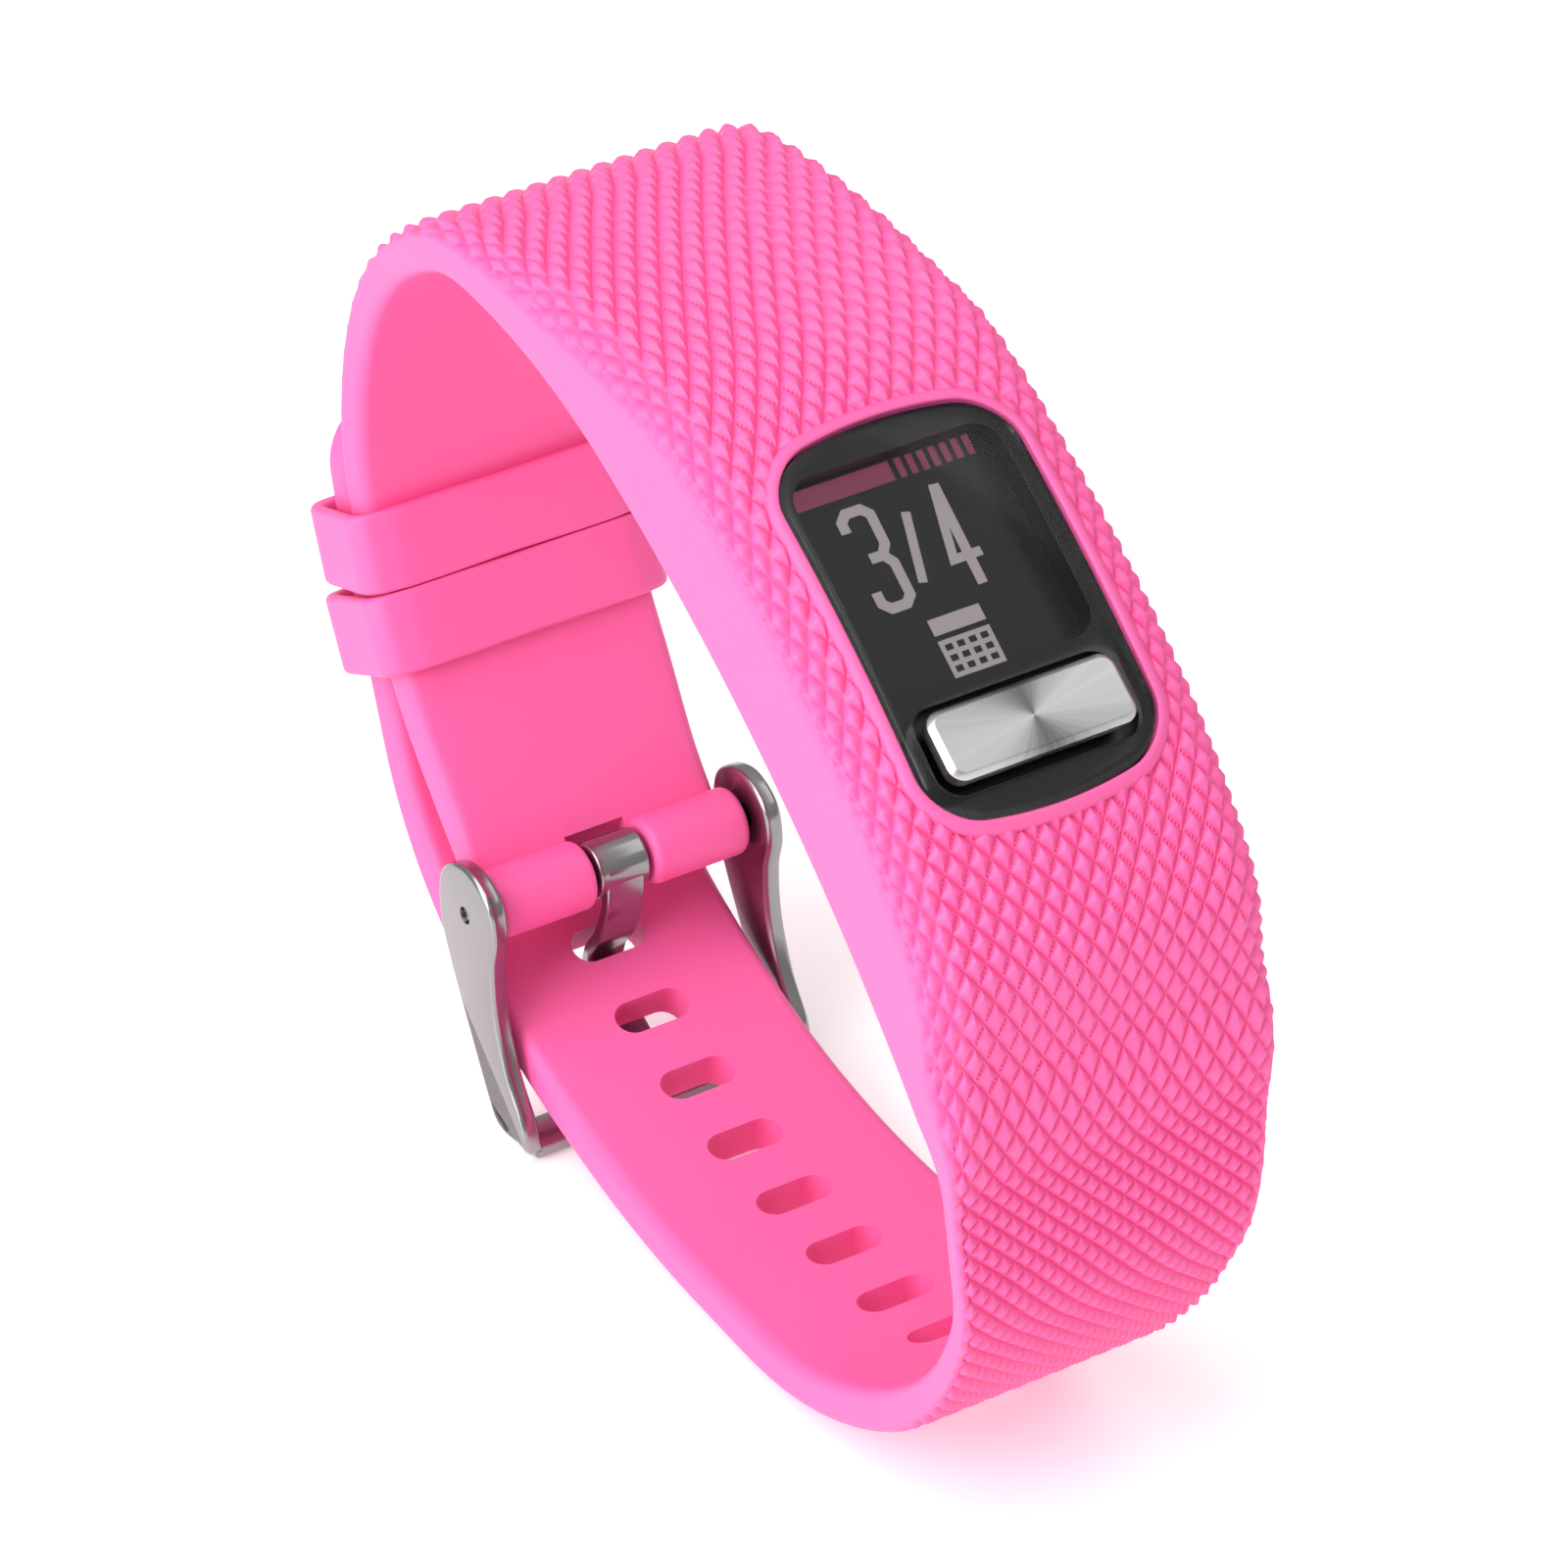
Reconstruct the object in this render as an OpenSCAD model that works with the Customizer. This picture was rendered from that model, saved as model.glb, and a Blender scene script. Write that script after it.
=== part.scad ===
// Fitness tracker band: a silicone strap with a slim display module, a pin buckle and two keepers.
// Millimetres. X runs along the wrist, +Z is up and the display looks towards -Y.
// The origin is on the surface the band stands on, under the middle of its outer box.

/* [Band] */
// Half of the width across the module
band_half_width = 10.2; // [10:0.1:10.6]
// Half of the width at the slots and at the buckle
strap_half_width = 8.0; // [7.8:0.1:8.1]
// Thickness of the strap next to the buckle
strap_thickness = 2.1; // [2:0.05:2.15]
// Thickness of the band around the module
pocket_thickness = 9.4; // [9.2:0.1:9.6]

/* [Strap slots] */
// Number of adjustment slots
slot_count = 12; // [8:1:12]
// Distance between neighbouring slots
slot_pitch = 5.15; // [5:0.05:5.15]
// Slot length across the strap
slot_length = 4.6; // [3.8:0.1:5]
// Slot width along the strap
slot_width = 2.1; // [2:0.1:2.2]

/* [Keepers] */
// Length of one keeper along the strap
keeper_length = 4.6; // [4:0.1:4.6]
// Wall of a keeper
keeper_wall = 0.8; // [0.7:0.05:0.9]

/* [Module] */
// Half of the width of the black face
face_half_width = 7.05; // [6.9:0.05:7.1]
// Half of the length of the black face
face_half_length = 10.95; // [10.8:0.05:11]
// Width of the button across the band
button_width = 11.2; // [10:0.1:11.4]
// Travel of the button
button_travel = 0.35; // [0.2:0.05:0.35]

/* [Buckle] */
// Outer width of the buckle
buckle_width = 19.0; // [18.9:0.1:19.4]
// Thickness of a buckle arm
arm_thickness = 1.1; // [0.9:0.1:1.1]
// Radius of the spring bar tube
tube_radius = 0.8; // [0.75:0.01:0.8]

/* [Hidden] */
$fn = 48;
tiny = 0.01;

// Inner line of the loop, side view, as [radius, degrees] arcs and [0, length] straights.
// Both lists start at the front of the loop: one goes up and over, the other down and under.
front_point = [-32.02, 20.47];
over_route = [
    [44.94, 8], [6.5, 33], [90, 24], [34, 25], [7, 27.5], [21.6, 54.5], [15, 28], [42, 15.5], [0, 10]
];
under_route = [
    [8.75, 22.8], [29.3, 6], [21.6, 61.2], [0, 5.8], [49, 27.5], [18.2, 42.8], [0, 10.8], [51.4, 12]
];
ring_step = 2.2;

// [distance along the inner line, share of the widening, thickness], from tail tip to knuckles
band_keys = [
    [-90, 0, strap_thickness], [-48, 0, 2.4], [-26, 0.15, 2.45], [-14, 0.05, 2.4], [-5, 0.3, 2.0],
    [1, 0.61, 1.95], [6, 0.78, 2.2], [10, 1, 4.2], [14.5, 1, 7.6], [19, 1, 8.75], [25, 1, pocket_thickness],
    [39, 1, pocket_thickness], [45, 1, 9.0], [50, 1, 7.2], [55, 1, 5.7], [60, 1, 4.2], [66, 0.95, 3.0],
    [74, 0.62, 2.6], [82, 0.3, 2.3], [92, 0.12, strap_thickness], [104, 0.12, strap_thickness],
    [110, 0.01, strap_thickness], [115, 0, 1.3]
];
tail_end = -92.3;
tail_corner = 3.5;

// Cross-section of the band
skin_edge_radius = 0.8;
skin_edge_share = 0.38;
skin_taper = 0.12;
shoulder_radius = 2.4;
shoulder_share = 0.3;
crown_share = 0.04;
crown_from = 3;

// Half of the reach of a cut that goes right through
far = 20;

// Knuckles and spring bar, side view
pin = [16.31, 13.97];
knuckle_radius = 2.0;
knuckle_gap = 3.8;
notch_gap = 0.35;
knuckle_end = 8.05;
strap_end = 114.9;
bore_clearance = 0.06;
tube_end = 7.7;
tip_radius = 0.45;
tip_flange_radius = 0.56;
tip_flange = [5.9, 6.7];
tip_end = 9.3;
tip_clearance = 0.05;
tube_bore = 0.62;
tube_bore_end = 6.9;
arm_hole_radius = 0.52;
coil_turns = 9;
coil_wire = 0.11;
coil_radius = 0.42;
coil_end_gap = 0.02;

// Slots
last_slot = -22.29;

// Keepers
keeper_start = 92.05;
keeper_pitch = 4.75;
keeper_clearance = 0.2;
// Room between the strap and the tail inside the upper and the lower keeper
layer_gap = [0.5, 1.15];
keeper_edge = 0.35;
keeper_hole_corner = 0.7;
// Corner points of a keeper's outline, as distances in from its side and from its skin or outer face
keeper_skin_corner = [[2.4, 0], [0.7, 0.45], [0, 1.2]];
keeper_outer_corner = [[0, 1], [0.3, 0.3], [1, 0]];

// Module: local z is the distance outwards from the wearer's skin
module_at = 31.35;
skin_radius = 90;
face_level = 9.4;
lens_thickness = 0.8;
face_corner = 2.7;
face_bow = 0.1;
flange_size = [16.6, 28.4];
flange_corner = 3.0;
flange_top = 6.3;
fit_gap = 0.2;
case_bottom = 1.3;
cover_top = 1.0;
cavity_size = [14.6, 26.4];
cavity_top = 5.5;
board_size = [12.4, 19.4];
board_bottom = 5.55;
board_top = 6.15;
deck_bottom = 6.95;
display_size = [12.4, 13.0];
display_centre = 2.9;
window_size = [12.3, 12.6];
window_corner = 1.5;
cell_radius = 5.8;
cell_height = 4.2;
cell_offset = 6.0;
cell_bottom = 1.2;
screw_at = [6.3, 12.2];
screw_radius = 0.7;
boss_radius = 1.4;
screw_hole_top = 4.3;
screw_top = 4.2;
screw_head_radius = 1.2;
screw_head = [-0.55, 0.05];
screw_drive_radius = 0.5;
screw_drive_top = -0.2;
sink_radius = 1.3;
seal_size = [16.2, 28];
seal_hole = [15, 26.8];
button_at = -6.7;
button_length = 3.9;
button_corner = 0.9;
button_gap = 0.55;
button_floor = 7.6;
button_bottom = 8.7;
button_top = 9.75;
stem_radius = 1.0;
stem_clearance = 0.08;
stem_head_bottom = 8.1;
stem_head_inset = 0.3;
stem_rest_gap = 0.02;
stem_top = 8.22;
seal_ring = [0.04, 0.5, 0.12];
switch_top = 6.68;
switch_width = 3;
switch_body = 0.4;
switch_radius = 0.8;

// Small parts on the board: [x, y from the button, width, length, height]
chips = [[-5.4, -1.5, 3, 3, 0.6], [2.6, -1.2, 2.4, 2.4, 0.55], [5.3, -0.8, 0.7, 1.4, 0.4]];
connector_at = -4.9;
connector_size = [6, 1.2, 0.45];
antenna_size = [9.2, 0.2, 0.7];
antenna_gap = 0.05;
cradle_gap = 0.1;
cradle_height = 4;
bridge_size = [3, 18];
contact_size = [2.4, 3];

// Buckle frame and tongue, side view
eye_radius = 3.1;
bar_centre = [11.71, 0.8];
bar_size = [2.6, 1.6];
tongue_thickness = 0.8;
tongue_width = 2.5;
roll_width = 3.2;
roll_clearance = 0.05;
arm_outline = [
    [16.31, 17.07], [13.91, 16.17], [13.21, 13.97], [13.61, 11.67], [13.31, 8.47], [12.11, 5.27],
    [10.51, 2.82], [10.31, 1.12], [11.41, 0.12], [12.91, 0.47], [14.41, 2.67], [16.41, 6.27],
    [18.31, 9.87], [19.31, 12.67], [18.91, 15.67]
];
tongue_line = [
    [15.11, 14.57], [15.16, 12.07], [16.01, 9.57], [17.21, 7.65], [17.39, 5.8], [15.89, 3.85],
    [13.39, 2.52], [11.01, 2.02]
];

// Colours
pink = [1.0, 0.42, 0.68];
steel = [0.78, 0.78, 0.8];
black = [0.03, 0.03, 0.03];
silver = [0.8, 0.8, 0.8];
green = [0.05, 0.3, 0.15];
gold = [0.8, 0.62, 0.3];
grey = [0.2, 0.2, 0.22];

// Which sub-part to draw

// ---------- helpers ----------

function piece_length(p) = p[0] == 0 ? p[1] : p[0] * p[1] * PI / 180;

// The pose [y, z, heading] after going the distance d along one arc or straight
function step(pose, p, d, turn) =
    p[0] == 0
        ? [pose[0] + d * cos(pose[2]), pose[1] + d * sin(pose[2]), pose[2]]
        : let (
            r = turn * p[0],
            a = pose[2] + d / r * 180 / PI,
            cy = pose[0] - r * sin(pose[2]),
            cz = pose[1] + r * cos(pose[2])
        ) [cy + r * sin(a), cz - r * cos(a), a];

function walk(route, d, turn, pose, i = 0) =
    let (l = piece_length(route[i]))
        i == len(route) - 1 || d <= l
            ? step(pose, route[i], d, turn)
            : walk(route, d - l, turn, step(pose, route[i], l, turn), i + 1);

// Pose on the inner line: s grows up the front, over the top and down the back
function skin(s) =
    s >= 0
        ? walk(over_route, s, -1, [front_point[0], front_point[1], 90])
        : let (p = walk(under_route, -s, 1, [front_point[0], front_point[1], -90]))
            [p[0], p[1], p[2] + 180];

function key_index(s, i = 0) = i >= len(band_keys) - 2 || s < band_keys[i + 1][0] ? i : key_index(s, i + 1);

// Slope of a key column at key i, so that the blend has no kinks
function key_slope(i, c) =
    i <= 0 || i >= len(band_keys) - 1
        ? 0
        : (band_keys[i + 1][c] - band_keys[i - 1][c]) / (band_keys[i + 1][0] - band_keys[i - 1][0]);

function keyed(s, c) =
    let (
        i = key_index(s),
        a = band_keys[i],
        b = band_keys[i + 1],
        d = b[0] - a[0],
        t = min(1, max(0, (s - a[0]) / d)),
        t2 = t * t,
        t3 = t2 * t
    ) a[c] * (2 * t3 - 3 * t2 + 1) + b[c] * (3 * t2 - 2 * t3)
        + d * key_slope(i, c) * (t3 - 2 * t2 + t) + d * key_slope(i + 1, c) * (t3 - t2);

function thickness(s) = keyed(s, 2);

// The tail narrows to a rounded end
function tip_inset(s) =
    let (u = tail_corner - (s - tail_end))
        u <= 0 ? 0 : tail_corner - sqrt(max(0, tail_corner * tail_corner - u * u));

function half_width(s) =
    strap_half_width + (band_half_width - strap_half_width) * min(1, max(0, keyed(s, 1))) - tip_inset(s);

// Right half of the band's cross-section as [x, level] points, from the skin side to the crown
function half_section(w, h) =
    let (
        skin_edge = min(skin_edge_radius, skin_edge_share * h),
        skin_w = w - skin_taper,
        crown = crown_share * max(0, h - crown_from),
        r = min(shoulder_radius, shoulder_share * h + 0.2 * max(0, h - shoulder_radius)),
        top = h - crown
    ) concat(
        [for (a = [-90:45:0]) [skin_w - skin_edge + skin_edge * cos(a), skin_edge + skin_edge * sin(a)]],
        [for (a = [0:22.5:90]) [w - r + r * cos(a), top - r + r * sin(a)]],
        [[0.5 * (w - r), h - 0.25 * crown]]
    );

function section(w, h) =
    let (half = half_section(w, h), n = len(half))
        concat(half, [for (i = [n - 1:-1:0]) [-half[i][0], half[i][1]]]);

function place(s, q) =
    let (p = skin(s)) [q[0], p[0] - q[1] * sin(p[2]), p[1] + q[1] * cos(p[2])];

// A closed smooth curve through the control points
function curve_point(a, b, c, d, t) =
    0.5 * ((2 * b) + (c - a) * t + (2 * a - 5 * b + 4 * c - d) * t * t + (3 * b - a - 3 * c + d) * t * t * t);

function closed_curve(pts, steps) =
    let (n = len(pts))
        [for (i = [0:n - 1], j = [0:steps - 1])
            curve_point(pts[(i + n - 1) % n], pts[i], pts[(i + 1) % n], pts[(i + 2) % n], j / steps)];

function open_curve(pts, steps) =
    let (n = len(pts))
        [for (i = [0:n - 2], j = [0:(i == n - 2 ? steps : steps - 1)])
            curve_point(pts[max(0, i - 1)], pts[i], pts[i + 1], pts[min(n - 1, i + 2)], j / steps)];

function unit(v) = v / norm(v);

function side_of(pts, i) =
    let (d = unit(pts[min(len(pts) - 1, i + 1)] - pts[max(0, i - 1)])) [-d[1], d[0]];

function ribbon(pts, t) =
    concat(
        [for (i = [0:len(pts) - 1]) pts[i] + side_of(pts, i) * t / 2],
        [for (i = [len(pts) - 1:-1:0]) pts[i] - side_of(pts, i) * t / 2]
    );

// Faces of a tube made of m rings with n points each, closed at both ends
function tube_faces(n, m) =
    concat(
        [for (k = [0:m - 2], j = [0:n - 1])
            let (j2 = (j + 1) % n) [k * n + j, k * n + j2, (k + 1) * n + j2]],
        [for (k = [0:m - 2], j = [0:n - 1])
            let (j2 = (j + 1) % n) [k * n + j, (k + 1) * n + j2, (k + 1) * n + j]],
        [[for (j = [n - 1:-1:0]) j], [for (j = [0:n - 1]) (m - 1) * n + j]]
    );

// Rounded rectangle whose short ends bow outwards
function bowed_outline(hw, hl, c, bow) =
    let (
        corner_steps = 6,
        end_steps = 5,
        quarter = [for (i = [0:corner_steps]) let (a = 90 * i / corner_steps)
            [hw - c + c * cos(a), hl - c + c * sin(a)]],
        end = [for (i = [1:end_steps - 1]) [(hw - c) * (1 - 2 * i / end_steps), hl]],
        half = concat(quarter, end, [for (i = [corner_steps:-1:0]) [-quarter[i][0], quarter[i][1]]]),
        whole = concat(half, [for (q = half) -q])
    ) [for (q = whole) [q[0], q[1] * (1 - bow * pow(q[0] / hw, 2))]];

module face_shape(grow = 0) {
    polygon(bowed_outline(face_half_width + grow, face_half_length + grow, face_corner + grow, face_bow));
}

module rounded_rect(size, r) {
    square([size[0] - 2 * r, size[1]], center = true);
    square([size[0], size[1] - 2 * r], center = true);
    for (x = [-1, 1], y = [-1, 1]) {
        translate([x * (size[0] / 2 - r), y * (size[1] / 2 - r)])
            circle(r = r, $fn = 32);
    }
}

module rounded_block(size, r, low, high) {
    translate([0, 0, low])
        linear_extrude(high - low)
            rounded_rect(size, r);
}

// Puts local x, y (up the band) and z (outwards) on the inner line at the distance s
module on_skin(s) {
    p = skin(s);
    translate([0, p[0], p[1]])
        rotate([p[2], 0, 0])
            children();
}

// Extrudes a side-view outline (y, z) along X from x0 to x1
module side_extrude(x0, x1) {
    translate([x0, 0, 0])
        rotate([90, 0, 90])
            linear_extrude(x1 - x0)
                children();
}

// A cylinder along X at the side-view point p
module cross_cylinder(p, r, x0, x1) {
    translate([x0, p[0], p[1]])
        rotate([0, 90, 0])
            cylinder(r = r, h = x1 - x0);
}

// Everything nearer to the loop's middle than the given level over the module
module below_level(level) {
    translate([-far, 0, -skin_radius])
        rotate([0, 90, 0])
            cylinder(r = skin_radius + level, h = 2 * far, $fn = 360);
}

module in_module() {
    on_skin(module_at)
        children();
}

// ---------- silicone parts ----------

module band_body() {
    start = tail_end;
    rings = ceil((strap_end - start) / ring_step);
    stations = concat(
        [for (u = [0, 0.25, 0.7, 1.4, 2.4]) start + u],
        [for (i = [2:rings]) start + i * (strap_end - start) / rings]
    );
    points = [for (s = stations) let (sec = section(half_width(s), thickness(s))) for (q = sec) place(s, q)];
    n = len(section(1, 1));
    m = len(stations);
    polyhedron(points, tube_faces(n, m), convexity = 12);
}

module slot_cut(s) {
    half = (slot_length - slot_width) / 2;
    depth = 8;
    on_skin(s)
        translate([0, 0, -depth / 4]) {
            for (x = [-half, half]) {
                translate([x, 0, 0])
                    cylinder(d = slot_width, h = depth);
            }
            translate([-half, -slot_width / 2, 0])
                cube([2 * half, slot_width, depth]);
        }
}

module pocket_cut() {
    size = flange_size + [2 * fit_gap, 2 * fit_gap];
    low = -6;
    in_module() {
        translate([0, 0, low])
            linear_extrude(far)
                face_shape(fit_gap);
        rounded_block(size, flange_corner + fit_gap, low, flange_top + fit_gap);
    }
}

module knuckles() {
    for (side = [-1, 1]) {
        x0 = side > 0 ? knuckle_gap / 2 : -knuckle_end;
        cross_cylinder(pin, knuckle_radius, x0, x0 + knuckle_end - knuckle_gap / 2);
    }
}

// Room between the knuckles for the tongue's roll
module knuckle_notch() {
    cross_cylinder(pin, knuckle_radius + notch_gap, -knuckle_gap / 2, knuckle_gap / 2);
}

module band() {
    color(pink)
        difference() {
            union() {
                band_body();
                knuckles();
            }
            for (i = [0:slot_count - 1]) {
                slot_cut(last_slot - i * slot_pitch);
            }
            pocket_cut();
            knuckle_notch();
            cross_cylinder(pin, tube_radius + bore_clearance, -far, far);
        }
}

// Keeper cross-section: x across, y outwards from the strap's inner line
module keeper_shape(gap, shrink = 0) {
    inner = -keeper_clearance;
    outer = 2 * strap_thickness + gap + keeper_clearance;
    hw = half_width(keeper_start) + keeper_clearance;
    hole = [2 * hw, outer - inner];
    w = hw + keeper_wall - shrink;
    low = inner - keeper_wall + shrink;
    high = outer + keeper_wall - shrink;
    right = concat(
        [for (q = keeper_skin_corner) [w - q[0], low + q[1]]],
        [for (q = keeper_outer_corner) [w - q[0], high - q[1]]]
    );
    left = [for (i = [len(right) - 1:-1:0]) [-right[i][0], right[i][1]]];
    difference() {
        polygon(concat(right, left));
        translate([0, (inner + outer) / 2])
            rounded_rect(hole, keeper_hole_corner);
    }
}

module keeper(index) {
    color(pink)
        on_skin(keeper_start + keeper_length / 2 + index * keeper_pitch)
            translate([0, keeper_length / 2, 0])
                rotate([90, 0, 0]) {
                    linear_extrude(keeper_length)
                        keeper_shape(layer_gap[index], keeper_edge);
                    translate([0, 0, keeper_edge])
                        linear_extrude(keeper_length - 2 * keeper_edge)
                            keeper_shape(layer_gap[index]);
                }
}

module keeper_upper() {
    keeper(0);
}

module keeper_lower() {
    keeper(1);
}

// ---------- buckle ----------

module arm(side) {
    outer = buckle_width / 2;
    x0 = side > 0 ? outer - arm_thickness : -outer;
    difference() {
        side_extrude(x0, x0 + arm_thickness)
            polygon(closed_curve(arm_outline, 5));
        cross_cylinder(pin, arm_hole_radius, -far, far);
    }
}

module buckle_frame() {
    outer = buckle_width / 2;
    color(steel) {
        arm(-1);
        arm(1);
        side_extrude(-outer + arm_thickness / 2, outer - arm_thickness / 2)
            translate(bar_centre)
                rounded_rect(bar_size, bar_size[1] / 2 - tiny);
    }
}

module buckle_tongue() {
    outer = tube_radius + roll_clearance + tongue_thickness;
    color(steel)
        difference() {
            union() {
                cross_cylinder(pin, outer, -roll_width / 2, roll_width / 2);
                side_extrude(-tongue_width / 2, tongue_width / 2)
                    polygon(ribbon(open_curve(tongue_line, 6), tongue_thickness));
            }
            cross_cylinder(pin, tube_radius + roll_clearance, -far, far);
        }
}

module spring_bar_tube() {
    color(steel)
        difference() {
            cross_cylinder(pin, tube_radius, -tube_end, tube_end);
            cross_cylinder(pin, tube_bore, -tube_bore_end, tube_bore_end);
            cross_cylinder(pin, tip_radius + tip_clearance, -far, far);
        }
}

module spring_bar_tip(side) {
    color(steel)
        mirror([side > 0 ? 0 : 1, 0, 0]) {
            cross_cylinder(pin, tip_flange_radius, tip_flange[0], tip_flange[1]);
            cross_cylinder(pin, tip_radius, tip_flange[0] + tiny, tip_end);
        }
}

module spring_bar_tip_left() {
    spring_bar_tip(-1);
}

module spring_bar_tip_right() {
    spring_bar_tip(1);
}

module spring_bar_coil() {
    sides = 6;
    per_turn = 14;
    reach = tip_flange[0] - coil_wire - coil_end_gap;
    n = coil_turns * per_turn;
    points = [for (i = [0:n]) let (a = 360 * i / per_turn, x = reach * (2 * i / n - 1))
        for (j = [0:sides - 1]) let (b = 360 * j / sides, r = coil_radius + coil_wire * cos(b))
            [x - coil_wire * sin(b), pin[0] + r * cos(a), pin[1] + r * sin(a)]];
    color(steel)
        polyhedron(points, tube_faces(sides, n + 1), convexity = 8);
}

// ---------- module ----------

// Solid between two heights, under the face's outline, cut to the curve of the face
module neck(grow, low, level) {
    intersection() {
        translate([0, 0, low])
            linear_extrude(far)
                face_shape(grow);
        below_level(level);
    }
}

module screw_places() {
    for (x = [-1, 1], y = [-1, 1]) {
        translate([x * screw_at[0], y * screw_at[1], 0])
            children();
    }
}

module button_outline(grow) {
    translate([0, button_at])
        rounded_rect([button_width + 2 * grow, button_length + 2 * grow], button_corner + grow);
}

module module_case() {
    color(black)
        in_module()
            difference() {
                union() {
                    rounded_block(flange_size, flange_corner, case_bottom, flange_top);
                    neck(0, flange_top - 1, face_level - lens_thickness);
                }
                difference() {
                    rounded_block(cavity_size, 2, case_bottom - 1, cavity_top);
                    screw_places()
                        translate([0, 0, case_bottom - 1])
                            cylinder(r = boss_radius, h = 6);
                }
                translate([0, 0, cavity_top - 1])
                    linear_extrude(deck_bottom - cavity_top + 1)
                        rounded_rect([board_size[0] + 0.4, board_size[1] + 0.4], 1.6);
                translate([0, display_centre, 0])
                    rounded_block(window_size, window_corner, deck_bottom - 1, 12);
                translate([0, 0, button_floor])
                    linear_extrude(far)
                        button_outline(button_gap);
                translate([0, button_at, 0])
                    cylinder(r = stem_radius + stem_clearance, h = far);
                screw_places()
                    cylinder(r = screw_radius, h = screw_hole_top);
            }
}

module face_lens() {
    color(black)
        in_module()
            difference() {
                neck(0, 6, face_level);
                below_level(face_level - lens_thickness + tiny);
                translate([0, 0, 5])
                    linear_extrude(8)
                        button_outline(button_gap);
            }
}

module display_panel() {
    color(grey)
        in_module()
            translate([0, display_centre, 0])
                rounded_block(display_size, 0.5, board_top + 0.05, deck_bottom);
}

module display_connector() {
    color(gold)
        in_module()
            translate([-connector_size[0] / 2, connector_at, board_top])
                cube(connector_size);
}

module button_cap() {
    color(silver)
        in_module()
            translate([0, 0, button_bottom])
                linear_extrude(button_top - button_bottom)
                    button_outline(0);
}

module button_stem() {
    stem_low = switch_top + button_travel + stem_rest_gap;
    color(black)
        in_module() {
            translate([0, 0, stem_head_bottom])
                linear_extrude(button_bottom - stem_head_bottom)
                    button_outline(-stem_head_inset);
            translate([0, button_at, stem_low])
                cylinder(r = stem_radius, h = stem_top - stem_low);
        }
}

module button_seal() {
    color(grey)
        in_module()
            translate([0, button_at, button_floor])
                difference() {
                    cylinder(r = stem_radius + seal_ring[1], h = seal_ring[2]);
                    translate([0, 0, -1])
                        cylinder(r = stem_radius + seal_ring[0], h = 3);
                }
}

module tact_switch() {
    color(silver)
        in_module()
            translate([0, button_at, board_top]) {
                translate([-switch_width / 2, -switch_width / 2, 0])
                    cube([switch_width, switch_width, switch_body]);
                cylinder(r = switch_radius, h = switch_top - board_top);
            }
}

module main_board() {
    color(green)
        in_module()
            rounded_block(board_size, 1.4, board_bottom, board_top);
}

module board_chips() {
    color(black)
        in_module()
            for (c = chips) {
                translate([c[0], button_at + c[1], board_top])
                    cube([c[2], c[3], c[4]]);
            }
}

module antenna_strip() {
    color(gold)
        in_module()
            translate([-antenna_size[0] / 2, display_centre + display_size[1] / 2 + antenna_gap, board_top])
                cube(antenna_size);
}

module battery_cradle() {
    size = cavity_size - 2 * [cradle_gap, cradle_gap];
    color(grey)
        in_module()
            difference() {
                rounded_block(size, 1.9, cell_bottom, cell_bottom + cradle_height);
                for (y = [-1, 1]) {
                    translate([0, y * cell_offset, 0])
                        cylinder(r = cell_radius + cradle_gap, h = far);
                }
                screw_places()
                    cylinder(r = boss_radius + cradle_gap, h = far);
            }
}

module battery_cell(side) {
    color(steel)
        in_module()
            translate([0, side * cell_offset, cell_bottom]) {
                cylinder(r = cell_radius - 0.5, h = 0.4);
                translate([0, 0, 0.3])
                    cylinder(r = cell_radius, h = cell_height - 0.3);
            }
}

module battery_cell_upper() {
    battery_cell(1);
}

module battery_cell_lower() {
    battery_cell(-1);
}

module cell_bridge() {
    color(gold)
        in_module()
            translate([-bridge_size[0] / 2, -bridge_size[1] / 2, cover_top])
                cube([bridge_size[0], bridge_size[1], cell_bottom - cover_top]);
}

module cell_contacts() {
    low = cell_bottom + cell_height;
    color(gold)
        in_module()
            for (y = [-1, 1]) {
                translate([-contact_size[0] / 2, y * cell_offset - contact_size[1] / 2, low])
                    cube([contact_size[0], contact_size[1], board_bottom - low]);
            }
}

module back_cover() {
    color(steel)
        in_module()
            difference() {
                rounded_block(flange_size, flange_corner, -3, cover_top);
                below_level(0.1);
                screw_places() {
                    translate([0, 0, -far / 2])
                        cylinder(r = screw_radius + 0.1, h = far);
                    translate([0, 0, screw_head[1] - far / 2])
                        cylinder(r = sink_radius, h = far / 2);
                }
            }
}

module back_cover_seal() {
    color(grey)
        in_module()
            difference() {
                rounded_block(seal_size, 2.8, cover_top, case_bottom);
                rounded_block(seal_hole, 2.2, 0, 3);
            }
}

module back_cover_screws() {
    color(steel)
        in_module()
            screw_places()
                difference() {
                    union() {
                        translate([0, 0, screw_head[0]])
                            cylinder(r = screw_head_radius, h = screw_head[1] - screw_head[0]);
                        cylinder(r = screw_radius, h = screw_top);
                    }
                    translate([0, 0, screw_drive_top - far])
                        cylinder(r = screw_drive_radius, h = far, $fn = 6);
                }
}

band();
keeper_upper();
keeper_lower();
buckle_frame();
buckle_tongue();
spring_bar_tube();
spring_bar_tip_left();
spring_bar_tip_right();
spring_bar_coil();
module_case();
face_lens();
display_panel();
display_connector();
button_cap();
button_stem();
button_seal();
tact_switch();
main_board();
board_chips();
antenna_strip();
battery_cradle();
battery_cell_upper();
battery_cell_lower();
cell_bridge();
cell_contacts();
back_cover();
back_cover_seal();
back_cover_screws();
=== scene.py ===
"""Visual model of the fitness tracker band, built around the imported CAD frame."""

import math

import bmesh
import bpy
import numpy as np
from mathutils import Matrix, Vector
from mathutils.geometry import delaunay_2d_cdt


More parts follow.
